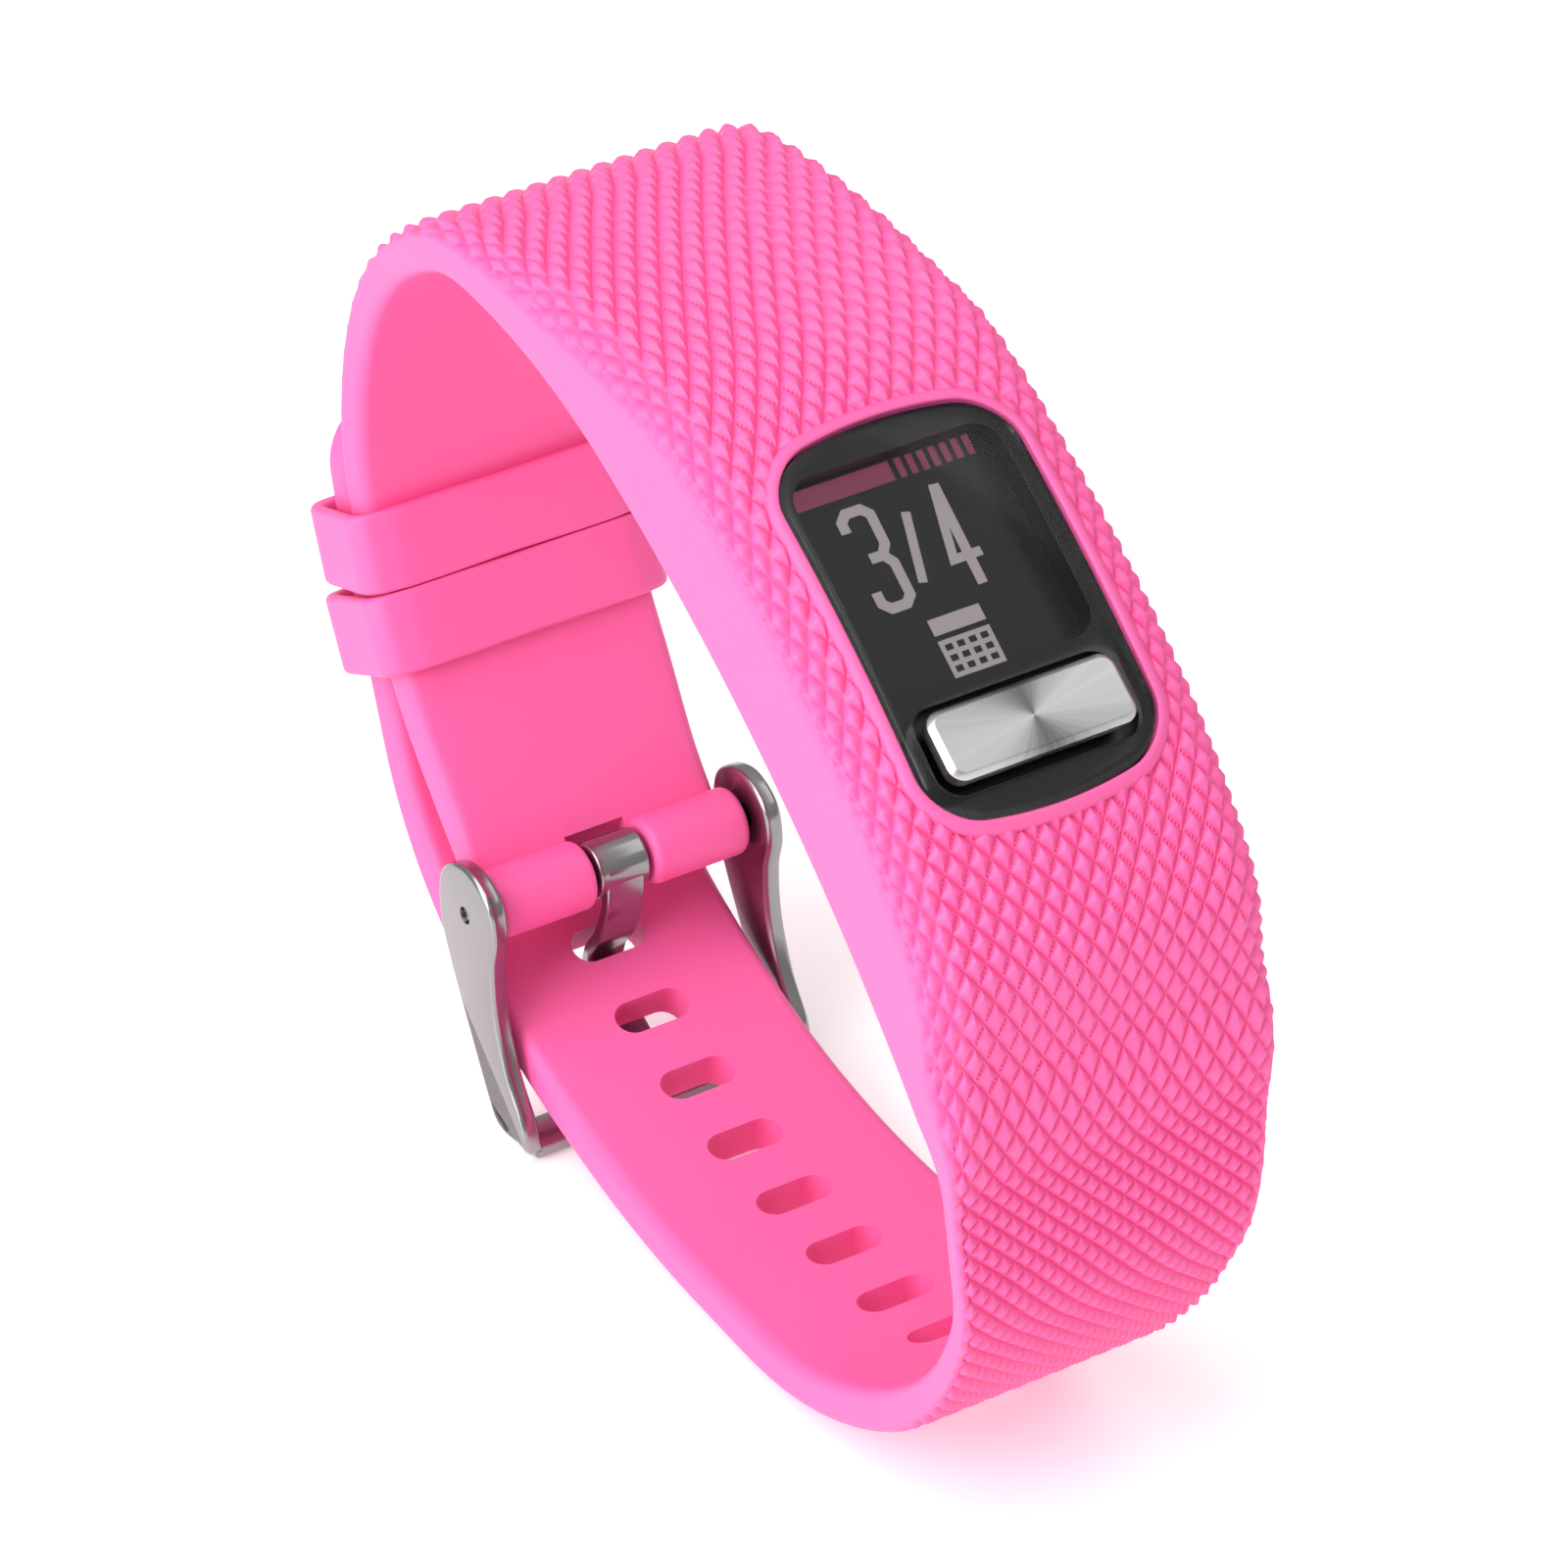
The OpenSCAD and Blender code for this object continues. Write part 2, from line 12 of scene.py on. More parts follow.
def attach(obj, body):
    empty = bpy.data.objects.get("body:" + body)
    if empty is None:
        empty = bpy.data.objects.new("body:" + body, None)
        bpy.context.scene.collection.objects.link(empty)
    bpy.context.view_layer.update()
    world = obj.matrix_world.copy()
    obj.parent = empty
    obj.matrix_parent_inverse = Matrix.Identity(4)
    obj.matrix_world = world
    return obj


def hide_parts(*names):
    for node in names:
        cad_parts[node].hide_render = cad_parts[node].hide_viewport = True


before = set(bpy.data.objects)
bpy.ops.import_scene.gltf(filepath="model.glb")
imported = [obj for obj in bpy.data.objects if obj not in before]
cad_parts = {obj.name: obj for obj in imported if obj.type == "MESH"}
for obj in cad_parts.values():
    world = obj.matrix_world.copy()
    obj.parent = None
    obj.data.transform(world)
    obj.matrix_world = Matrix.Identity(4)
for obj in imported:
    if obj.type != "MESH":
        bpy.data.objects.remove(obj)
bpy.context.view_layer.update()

MM = 0.001  # every length below is in millimetres, and meshes are scaled by this

# ---------- driving dimensions, the same as the CAD's ----------

BAND_HALF_WIDTH = 10.2
STRAP_HALF_WIDTH = 8.0
STRAP_THICKNESS = 2.1
POCKET_THICKNESS = 9.4

# Inner line of the loop in side view: [radius, degrees] arcs and [0, length] straights
FRONT_POINT = (-32.02, 20.47)
OVER_ROUTE = [
    [44.94, 8], [6.5, 33], [90, 24], [34, 25], [7, 27.5], [21.6, 54.5], [15, 28], [42, 15.5], [0, 10],
]
UNDER_ROUTE = [
    [8.75, 22.8], [29.3, 6], [21.6, 61.2], [0, 5.8], [49, 27.5], [18.2, 42.8], [0, 10.8], [51.4, 12],
]

# [distance along the inner line, share of the widening, thickness]
BAND_KEYS = [
    [-90, 0, STRAP_THICKNESS], [-48, 0, 2.4], [-26, 0.15, 2.45], [-14, 0.05, 2.4], [-5, 0.3, 2.0],
    [1, 0.61, 1.95], [6, 0.78, 2.2], [10, 1, 4.2], [14.5, 1, 7.6], [19, 1, 8.75], [25, 1, POCKET_THICKNESS],
    [39, 1, POCKET_THICKNESS], [45, 1, 9.0], [50, 1, 7.2], [55, 1, 5.7], [60, 1, 4.2], [66, 0.95, 3.0],
    [74, 0.62, 2.6], [82, 0.3, 2.3], [92, 0.12, STRAP_THICKNESS], [104, 0.12, STRAP_THICKNESS],
    [110, 0.01, STRAP_THICKNESS], [115, 0, 1.3],
]
# Cross-section of the band
SKIN_EDGE_RADIUS = 0.8
SKIN_EDGE_SHARE = 0.38
SKIN_TAPER = 0.12
SHOULDER_RADIUS = 2.4
SHOULDER_SHARE = 0.3
CROWN_SHARE = 0.04
CROWN_FROM = 3
TAIL_END = -92.3
STRAP_END = 114.9
TAIL_CORNER = 3.5

SLOT_COUNT = 12
SLOT_PITCH = 5.15
SLOT_LENGTH = 4.6
SLOT_WIDTH = 2.1
LAST_SLOT = -22.29

PIN = (16.31, 13.97)
KNUCKLE_RADIUS = 2.0
KNUCKLE_GAP = 3.8
KNUCKLE_END = 8.05
KNUCKLE_EDGE = 0.5
NOTCH_GAP = 0.35
BORE_CLEARANCE = 0.06
FAR = 20  # half of the reach of a cut that goes right through
TUBE_RADIUS = 0.8
ARM_HOLE_RADIUS = 0.52

KEEPER_START = 92.05
KEEPER_PITCH = 4.75
KEEPER_LENGTH = 4.6
KEEPER_WALL = 0.8
KEEPER_CLEARANCE = 0.2
KEEPER_HOLE_CORNER = 0.8
KEEPER_ROUNDING = 0.4
KEEPER_RIM = 0.36
KEEPER_RAYS = 168
KEEPER_FLATTEN = 0.42  # brings the rays closer together towards the sides of a keeper
LAYER_GAP = [0.5, 1.15]
# Corner points of a keeper's outline, as distances in from its side and from its skin or outer face
KEEPER_SKIN_CORNER = [(2.4, 0), (0.7, 0.45), (0, 1.2)]
KEEPER_OUTER_CORNER = [(0, 1), (0.3, 0.3), (1, 0)]

# Module: local x, T up the band, N outwards from the inner line
MODULE_AT = 31.35
SKIN_RADIUS = 90
FACE_LEVEL = 9.4
LENS_THICKNESS = 0.8
FACE_HALF = (7.05, 10.95)
FACE_CORNER = 2.7
FACE_BOW = 0.1
FIT_GAP = 0.2
FLANGE_SIZE = (16.6, 28.4)
FLANGE_CORNER = 3.0
FLANGE_TOP = 6.3
DISPLAY_LEVEL = 6.95
SIGN_LEVELS = (DISPLAY_LEVEL + 0.005, DISPLAY_LEVEL + 0.03)
BUTTON_AT = -6.7
BUTTON_SIZE = (11.2, 3.9)
BUTTON_CORNER = 0.9
BUTTON_GAP = 0.55
BUTTON_LOW = 8.7
BUTTON_TOP = 9.75

BUCKLE_WIDTH = 19.0
ARM_THICKNESS = 1.1
BAR_CENTRE = (11.71, 0.8)
BAR_SIZE = (2.6, 1.6)
TONGUE_THICKNESS = 0.8
TONGUE_WIDTH = 2.5
ROLL_WIDTH = 3.2
ROLL_CLEARANCE = 0.05
ROLL_EDGE = 0.22
ARM_EDGE = 0.32
BUCKLE_CORNER = 2.0
ARM_OUTLINE = [
    (16.31, 17.07), (13.91, 16.17), (13.21, 13.97), (13.61, 11.67), (13.31, 8.47), (12.11, 5.27),
    (10.51, 2.82), (10.31, 1.12), (11.41, 0.12), (12.91, 0.47), (14.41, 2.67), (16.41, 6.27),
    (18.31, 9.87), (19.31, 12.67), (18.91, 15.67),
]
TONGUE_LINE = [
    (15.11, 14.57), (15.16, 12.07), (16.01, 9.57), (17.21, 7.65), (17.39, 5.8), (15.89, 3.85),
    (13.39, 2.52), (11.01, 2.02),
]

# ---------- the diamond texture ----------

DIAMOND_WIDTH = 1.345
# [distance along the inner line, length of a diamond]
DIAMOND_KEYS = [[-16, 1.35], [0, 1.35], [8, 1.5], [16, 1.72], [40, 1.95], [60, 1.95], [95, 1.9]]
DIAMOND_DEPTH = 0.45
FACET_SHARE = 0.85  # share of the depth that the flat facets fall; the rest is the groove
GROOVE_START = 0.6
PEAK_ROUNDING = 0.3
TEXTURE_START = -15.5
TEXTURE_END = 87
END_FADE = 3.0
EDGE_FADE = (0.15, 0.75)
LIP_FADE = (0.55, 0.8)
COARSE_STEP = 0.9
CELLS = 10  # mesh steps over one diamond
CORE_COLUMNS = 60  # mesh columns on each side of the middle that keep in step with the diamonds
EDGE_COLUMNS = 24  # mesh columns from there to each edge
CORE_REACH = 0.96  # largest share of the outer face that the core columns take

# ---------- curves ----------


def smoothstep(low, high, value):
    t = np.clip((value - low) / (high - low), 0, 1)
    return t * t * (3 - 2 * t)


def step(pose, piece, d, turn):
    """The pose (y, z, heading in radians) after the distance d along one arc or straight."""
    y, z, a = pose
    if piece[0] == 0:
        return y + d * math.cos(a), z + d * math.sin(a), a
    r = turn * piece[0]
    b = a + d / r
    return y - r * math.sin(a) + r * math.sin(b), z + r * math.cos(a) - r * math.cos(b), b


def walk(route, d, turn, pose):
    for piece in route[:-1]:
        length = piece[1] if piece[0] == 0 else piece[0] * math.radians(piece[1])
        if d <= length:
            return step(pose, piece, d, turn)
        pose = step(pose, piece, length, turn)
        d -= length
    return step(pose, route[-1], d, turn)


def skin(s):
    """Pose on the inner line. s grows up the front, over the top and down the back."""
    if s >= 0:
        return walk(OVER_ROUTE, s, -1, (*FRONT_POINT, math.pi / 2))
    y, z, a = walk(UNDER_ROUTE, -s, 1, (*FRONT_POINT, -math.pi / 2))
    return y, z, a + math.pi


def keyed(keys, s, column):
    """Smooth blend between the keys of one column."""
    i = 0
    while i < len(keys) - 2 and s >= keys[i + 1][0]:
        i += 1

    def slope(k):
        if k <= 0 or k >= len(keys) - 1:
            return 0
        return (keys[k + 1][column] - keys[k - 1][column]) / (keys[k + 1][0] - keys[k - 1][0])

    a, b = keys[i], keys[i + 1]
    d = b[0] - a[0]
    t = min(1, max(0, (s - a[0]) / d))
    blend = 3 * t * t - 2 * t ** 3
    bends = slope(i) * (t ** 3 - 2 * t * t + t) + slope(i + 1) * (t ** 3 - t * t)
    return a[column] * (1 - blend) + b[column] * blend + d * bends


def thickness(s):
    return keyed(BAND_KEYS, s, 2)


def half_width(s):
    u = TAIL_CORNER - (s - TAIL_END)
    inset = 0 if u <= 0 else TAIL_CORNER - math.sqrt(max(0, TAIL_CORNER ** 2 - u * u))
    widening = min(1, max(0, keyed(BAND_KEYS, s, 1)))
    return STRAP_HALF_WIDTH + (BAND_HALF_WIDTH - STRAP_HALF_WIDTH) * widening - inset


def curve_point(a, b, c, d, t):
    bend = 2 * a - 5 * b + 4 * c - d
    twist = 3 * b - a - 3 * c + d
    return 0.5 * (2 * b + (c - a) * t + bend * t * t + twist * t ** 3)


def closed_curve(points, steps):
    p = np.array(points, float)
    n = len(p)
    return np.array([
        curve_point(p[i - 1], p[i], p[(i + 1) % n], p[(i + 2) % n], j / steps)
        for i in range(n) for j in range(steps)
    ])


def open_curve(points, steps):
    p = np.array(points, float)
    n = len(p)
    line = [
        curve_point(p[max(0, i - 1)], p[i], p[i + 1], p[min(n - 1, i + 2)], j / steps)
        for i in range(n - 1) for j in range(steps)
    ]
    return np.array(line + [p[-1]])


def soft_corners(points, reach, steps=5):
    """A closed outline whose corners are rounded from the given reach on each side."""
    p = np.array(points, float)
    line = []
    for i in range(len(p)):
        before, corner, after = p[i - 1], p[i], p[(i + 1) % len(p)]
        sides = [before - corner, after - corner]
        lengths = [np.linalg.norm(side) for side in sides]
        start, end = [
            corner + side / length * min(reach, 0.45 * length) for side, length in zip(sides, lengths)
        ]
        for t in np.linspace(0, 1, steps):
            line.append((1 - t) ** 2 * start + 2 * t * (1 - t) * corner + t * t * end)
    return np.array(line)


def loop_normals(loop):
    """Outward normals of a closed anticlockwise outline."""
    along = np.roll(loop, -1, axis=0) - np.roll(loop, 1, axis=0)
    normals = np.stack([along[:, 1], -along[:, 0]], axis=1)
    return normals / np.linalg.norm(normals, axis=1)[:, None]


def rounded_outline(half, corner, grow=0.0, bow=0.0, corner_steps=10, side_steps=24):
    """Anticlockwise rounded rectangle whose short ends can bow outwards."""
    hw, hl, c = half[0] + grow, half[1] + grow, corner + grow
    points = []
    for quarter, (sx, sy) in enumerate([(1, 1), (-1, 1), (-1, -1), (1, -1)]):
        for i in range(corner_steps + 1):
            a = math.radians(90 * (quarter + i / corner_steps))
            points.append((sx * (hw - c) + c * math.cos(a), sy * (hl - c) + c * math.sin(a)))
        a, b = points[-1], [(-(hw - c), hl), (-hw, -(hl - c)), (hw - c, -hl), (hw, hl - c)][quarter]
        points += [
            (a[0] + (b[0] - a[0]) * i / side_steps, a[1] + (b[1] - a[1]) * i / side_steps)
            for i in range(1, side_steps)
        ]
    p = np.array(points)
    p[:, 1] *= 1 - bow * (p[:, 0] / hw) ** 2
    return p


# ---------- meshes ----------


class Shape:
    """Collects points in millimetres and faces, and turns them into one object."""

    def __init__(self):
        self.points = []
        self.faces = []
        self.count = 0

    def add(self, points, faces=()):
        first = self.count
        points = np.asarray(points, float).reshape(-1, 3)
        self.points.append(points)
        self.count += len(points)
        self.faces += [[first + i for i in face] for face in faces]
        return first

    def rings(self, rings, closed=True, looped=False):
        """Joins equal rings of points. looped also joins the last ring to the first."""
        rings = np.asarray(rings, float)
        m, n = rings.shape[:2]
        first = self.add(rings)
        for k in range(m if looped else m - 1):
            k2 = (k + 1) % m
            for j in range(n if closed else n - 1):
                j2 = (j + 1) % n
                corners = (k * n + j, k * n + j2, k2 * n + j2, k2 * n + j)
                self.faces.append([first + i for i in corners])
        return first

    def caps(self, first, m, n):
        """Closes both ends of m rings with n points each."""
        self.faces.append([first + j for j in reversed(range(n))])
        self.faces.append([first + (m - 1) * n + j for j in range(n)])

    def build(self, name, angle=40, place=None):
        mesh = bpy.data.meshes.new(name)
        mesh.from_pydata((np.concatenate(self.points) * MM).tolist(), [], self.faces)
        clean = bmesh.new()
        clean.from_mesh(mesh)
        bmesh.ops.recalc_face_normals(clean, faces=clean.faces)
        clean.to_mesh(mesh)
        clean.free()
        obj = bpy.data.objects.new(name, mesh)
        bpy.context.collection.objects.link(obj)
        if place is not None:
            obj.matrix_world = place
        smooth(obj, angle)
        return obj


def smooth(obj, angle):
    obj.data.shade_smooth()
    obj.data.set_sharp_from_angle(angle=math.radians(angle))


def cut(obj, cutter):
    """Takes the cutter away from obj and deletes it."""
    modifier = obj.modifiers.new("cut", "BOOLEAN")
    modifier.operation = "DIFFERENCE"
    modifier.solver = "EXACT"
    modifier.object = cutter
    bpy.context.view_layer.update()
    depsgraph = bpy.context.evaluated_depsgraph_get()
    mesh = bpy.data.meshes.new_from_object(obj.evaluated_get(depsgraph))
    obj.modifiers.clear()
    obj.data = mesh
    bpy.data.objects.remove(cutter)


def side_point(x, p):
    """A 3-D point from x and a side-view point (y, z)."""
    return x, p[0], p[1]


def turned(shape, centre, profile, sides=48):
    """A solid of revolution along X: profile is [(x, radius)]."""
    rings = []
    for x, r in profile:
        angles = np.linspace(0, 2 * math.pi, sides, endpoint=False)
        rings.append([(x, centre[0] + r * math.cos(a), centre[1] + r * math.sin(a)) for a in angles])
    first = shape.rings(rings)
    shape.caps(first, len(rings), sides)


def rounded_profile(x0, x1, radius, edge, steps=5):
    """[(x, radius)] of a cylinder with rounded rims."""
    quarter = [math.radians(90 * i / steps) for i in range(steps + 1)]
    left = [(x0 + edge - edge * math.cos(a), radius - edge + edge * math.sin(a)) for a in quarter]
    right = [(x1 - edge + edge * math.cos(a), radius - edge + edge * math.sin(a)) for a in reversed(quarter)]
    return left + right


def plate(shape, outline, x0, x1, edge, steps=5, bend=None):
    """A plate with rounded rims from a side-view outline, between x0 and x1."""
    normals = loop_normals(outline)
    rings = []
    for side, x_end in ((-1, x0), (1, x1)):
        angles = [math.radians(90 * i / steps) for i in range(steps + 1)]
        for a in angles if side < 0 else reversed(angles):
            inset = edge * (1 - math.sin(a))
            x = x_end - side * edge * (1 - math.cos(a))
            loop = outline - normals * inset
            rings.append([side_point(x, p) for p in loop])
    rings = np.array(rings)
    if bend:
        rings = bend(rings)
    first = shape.rings(rings)
    shape.caps(first, len(rings), len(outline))


# ---------- the band ----------


def crown_rise(h):
    """How much higher the middle of the outer face is than its edges."""
    return CROWN_SHARE * max(0, h - CROWN_FROM)


def shoulder_radius(h):
    return min(SHOULDER_RADIUS, SHOULDER_SHARE * h + 0.2 * max(0, h - SHOULDER_RADIUS))


def outer_curve(w, h):
    """Points, normals and signed length from the middle, over the outer face of the section."""
    crown = crown_rise(h)
    r = shoulder_radius(h)
    top = h - crown
    a = np.radians(np.linspace(0, 90, 40))
    shoulder = np.stack([w - r + r * np.cos(a), top - r + r * np.sin(a)], axis=1)
    x = np.linspace(w - r, 0, 60)[1:]
    crest = np.stack([x, top + crown * (1 - (x / (w - r)) ** 2)], axis=1)
    half = np.concatenate([shoulder, crest])
    line = np.concatenate([half, (half * [-1, 1])[-2::-1]])
    length = np.concatenate([[0], np.cumsum(np.linalg.norm(np.diff(line, axis=0), axis=1))])
    reach = length[-1] / 2
    core = CORE_COLUMNS * DIAMOND_WIDTH / CELLS
    core = min(core, reach * CORE_REACH)
    middle = np.linspace(core, -core, 2 * CORE_COLUMNS + 1)
    edge = np.linspace(reach, core, EDGE_COLUMNS + 1)[:-1]
    q = np.concatenate([edge, middle, -edge[::-1]])
    points = np.stack([np.interp(reach - q, length, line[:, k]) for k in (0, 1)], axis=1)
    along = np.gradient(points, axis=0)
    normals = np.stack([along[:, 1], -along[:, 0]], axis=1)
    normals /= np.linalg.norm(normals, axis=1)[:, None]
    return points, normals, q


def inner_curve(w, h):
    """The rest of the section: down the left side, across the skin side and up the right side."""
    edge = min(SKIN_EDGE_RADIUS, SKIN_EDGE_SHARE * h)
    skin_w = w - SKIN_TAPER
    a = np.radians(np.linspace(-90, 0, 7))
    corner = np.stack([skin_w - edge + edge * np.cos(a), edge + edge * np.sin(a)], axis=1)
    top = h - crown_rise(h) - shoulder_radius(h)
    wall = np.stack([np.linspace(skin_w, w, 6)[1:-1], np.linspace(edge, top, 6)[1:-1]], axis=1)
    right = np.concatenate([corner, wall])
    floor_x = np.linspace(-(skin_w - edge), skin_w - edge, 13)[1:-1]
    floor = np.stack([floor_x, 0 * floor_x], axis=1)
    return np.concatenate([(right * [-1, 1])[::-1], floor, right])


def diamonds(q, phase):
    """Depth of the texture below the surface, from 0 at a peak to 1 in a groove."""
    u = q / DIAMOND_WIDTH + phase
    v = q / DIAMOND_WIDTH - phase
    a = np.abs(2 * (u - np.floor(u)) - 1)
    b = np.abs(2 * (v - np.floor(v)) - 1)
    slope = np.maximum(a, b)
    lowest = math.hypot(1, PEAK_ROUNDING) - PEAK_ROUNDING
    facets = (np.hypot(slope, PEAK_ROUNDING) - PEAK_ROUNDING) / lowest
    return FACET_SHARE * facets + (1 - FACET_SHARE) * smoothstep(GROOVE_START, 1, slope)


def module_axes():
    y, z, a = skin(MODULE_AT)
    return np.array([y, z]), np.array([math.cos(a), math.sin(a)]), np.array([-math.sin(a), math.cos(a)])


def face_distance(x, t):
    """Distance outwards from the outline of the black face."""
    hw, hl = FACE_HALF
    t = t / (1 - FACE_BOW * np.clip(x / hw, -1.2, 1.2) ** 2)
    dx = np.abs(x) - hw + FACE_CORNER
    dt = np.abs(t) - hl + FACE_CORNER
    outside = np.hypot(np.maximum(dx, 0), np.maximum(dt, 0))
    return outside + np.minimum(np.maximum(dx, dt), 0) - FACE_CORNER


def band_stations():
    tip = [TAIL_END + TAIL_CORNER * (1 - math.cos(math.radians(a))) for a in range(0, 90, 10)]
    low = np.arange(TAIL_END + TAIL_CORNER, TEXTURE_START, COARSE_STEP)
    fine = [TEXTURE_START]
    while fine[-1] < TEXTURE_END:
        fine.append(fine[-1] + keyed(DIAMOND_KEYS, fine[-1], 1) / CELLS)
    high = np.arange(fine[-1] + COARSE_STEP, STRAP_END - COARSE_STEP / 2, COARSE_STEP)
    return np.concatenate([tip, low, fine, high, [STRAP_END]])


def add_band_surface(shape):
    origin, up, _ = module_axes()
    rings = []
    phase = 0.0
    last_s = None
    for s in band_stations():
        if last_s is None or s <= TEXTURE_START:
            phase = 0.0
        else:
            phase += (s - last_s) / keyed(DIAMOND_KEYS, last_s, 1)
        last_s = s
        y, z, a = skin(s)
        w, h = half_width(s), thickness(s)
        points, normals, q = outer_curve(w, h)
        shoulder_end = abs(q[0])
        strength = smoothstep(TEXTURE_START, TEXTURE_START + END_FADE, s)
        strength *= smoothstep(TEXTURE_END, TEXTURE_END - END_FADE, s)
        strength = strength * smoothstep(*EDGE_FADE, shoulder_end - np.abs(q))
        side = np.stack([y - points[:, 1] * math.sin(a), z + points[:, 1] * math.cos(a)], axis=1) - origin
        if abs(s - MODULE_AT) < 20:
            strength = strength * smoothstep(*LIP_FADE, face_distance(points[:, 0], side @ up))
        depth = DIAMOND_DEPTH * strength * diamonds(q, phase)
        outer = points - normals * depth[:, None]
        section = np.concatenate([outer, inner_curve(w, h)])
        rings.append(np.stack([
            section[:, 0], y - section[:, 1] * math.sin(a), z + section[:, 1] * math.cos(a),
        ], axis=1))
    first = shape.rings(rings)
    shape.caps(first, len(rings), len(rings[0]))


def module_point(x, t, n):
    """A point in the shared frame from the module's local x, T and N."""
    origin, up, out = module_axes()
    side = origin + up * t + out * n
    return x, side[0], side[1]


def surface_level(x, t):
    """Local N of the band's outer face over the module."""
    s = MODULE_AT + SKIN_RADIUS * math.atan2(t, SKIN_RADIUS + FACE_LEVEL)
    h = thickness(s)
    across = min(1, abs(x) / (BAND_HALF_WIDTH - SHOULDER_RADIUS))
    level = h - crown_rise(h) * across ** 2
    return math.sqrt((SKIN_RADIUS + level) ** 2 - t * t) - SKIN_RADIUS


def add_lip(shape):
    """Smooth rounded lip around the opening for the black face."""
    profile = [(0.1, -2.2), (0.1, -0.35), (0.1, -0.02), (0.13, 0.05), (0.2, 0.1), (0.3, 0.12),
               (0.42, 0.11), (0.55, 0.06), (0.68, -0.03), (0.8, -0.14), (0.82, -0.6)]
    outlines = [rounded_outline(FACE_HALF, FACE_CORNER, grow=g, bow=FACE_BOW) for g, _ in profile]
    rings = [
        [module_point(x, t, surface_level(x, t) + rise) for x, t in outline]
        for outline, (_, rise) in zip(outlines, profile)
    ]
    shape.rings(rings, looped=True)


def prism(shape, outline, low, high):
    """A straight solid along the module's N from an outline in x, T."""
    rings = [[module_point(x, t, n) for x, t in outline] for n in (low, high)]
    first = shape.rings(rings)
    shape.caps(first, 2, len(outline))


def on_skin(pose, x, along, n):
    """A point from x, the distance along the strap and the distance outwards from it."""
    y, z, a = pose
    return x, y + along * math.cos(a) - n * math.sin(a), z + along * math.sin(a) + n * math.cos(a)


def slot_prism(shape, s):
    pose = skin(s)
    half = (SLOT_LENGTH - SLOT_WIDTH) / 2
    r = SLOT_WIDTH / 2
    angles = np.radians(np.linspace(-90, 90, 13))
    right = [(half + r * math.cos(b), r * math.sin(b)) for b in angles]
    outline = right + [(-x, -t) for x, t in right]
    rings = [[on_skin(pose, x, t, n) for x, t in outline] for n in (-2, 6)]
    first = shape.rings(rings)
    shape.caps(first, 2, len(outline))


def follow_grooves(obj):
    """Splits every quad along its shorter diagonal, which is the one that lies in a groove or on a ridge."""
    split = bmesh.new()
    split.from_mesh(obj.data)
    bmesh.ops.triangulate(split, faces=split.faces, quad_method="SHORT_EDGE", ngon_method="BEAUTY")
    split.to_mesh(obj.data)
    split.free()


def make_band():
    shape = Shape()
    add_band_surface(shape)
    band = shape.build("band_skin", 50)
    follow_grooves(band)

    holes = Shape()
    flange = rounded_outline((FLANGE_SIZE[0] / 2, FLANGE_SIZE[1] / 2), FLANGE_CORNER, grow=FIT_GAP)
    prism(holes, flange, -6, FLANGE_TOP + FIT_GAP)
    for i in range(SLOT_COUNT):
        slot_prism(holes, LAST_SLOT - i * SLOT_PITCH)
    notch = KNUCKLE_GAP / 2
    turned(holes, PIN, [(-notch, KNUCKLE_RADIUS + NOTCH_GAP), (notch, KNUCKLE_RADIUS + NOTCH_GAP)])
    cut(band, holes.build("band_holes"))
    window = Shape()
    prism(window, rounded_outline(FACE_HALF, FACE_CORNER, grow=0.35, bow=FACE_BOW), 2, 20)
    cut(band, window.build("band_window"))

    extras = Shape()
    add_lip(extras)
    for side in (-1, 1):
        ends = sorted((side * KNUCKLE_GAP / 2, side * KNUCKLE_END))
        turned(extras, PIN, rounded_profile(*ends, KNUCKLE_RADIUS, KNUCKLE_EDGE))
    knuckles = extras.build("band_extras", 50)
    bore = Shape()
    turned(bore, PIN, [(-FAR, TUBE_RADIUS + BORE_CLEARANCE), (FAR, TUBE_RADIUS + BORE_CLEARANCE)], 32)
    cut(knuckles, bore.build("band_bore"))
    join(band, knuckles)
    smooth(band, 50)
    return band


def join(target, *others):
    """Adds the other objects' meshes to the target's mesh."""
    merged = bmesh.new()
    merged.from_mesh(target.data)
    for other in others:
        merged.from_mesh(other.data)
        bpy.data.objects.remove(other)
    merged.to_mesh(target.data)
    merged.free()


# ---------- keepers ----------


def ray_outline(outline, count, flatten):
    """Points where evenly spread rays from the middle of the outline cross it."""
    middle = (outline.min(axis=0) + outline.max(axis=0)) / 2
    ring = np.concatenate([outline, outline[:1]]) - middle
    angle = np.unwrap(np.arctan2(ring[:, 1] / flatten, ring[:, 0]))
    wanted = np.linspace(0, 2 * math.pi, count, endpoint=False)
    wanted = angle[0] + (wanted - angle[0]) % (2 * math.pi)
    return np.stack([np.interp(wanted, angle, ring[:, k]) for k in (0, 1)], axis=1) + middle


def keeper_profile(half):
    """[(along the strap, 1 for the outline or 0 for the hole, distance back from that side)]."""
    corner = [math.radians(90 * i / 5) for i in range(6)]
    profile = []
    for sx, sy in ((1, 1), (-1, 1), (-1, 0), (1, 0)):
        arc = [(KEEPER_RIM * (1 - math.cos(a)), KEEPER_RIM * (1 - math.sin(a))) for a in corner]
        arc = arc if sx * (2 * sy - 1) > 0 else arc[::-1]
        profile += [(sx * (half - b), sy, c) for b, c in arc]
    return profile


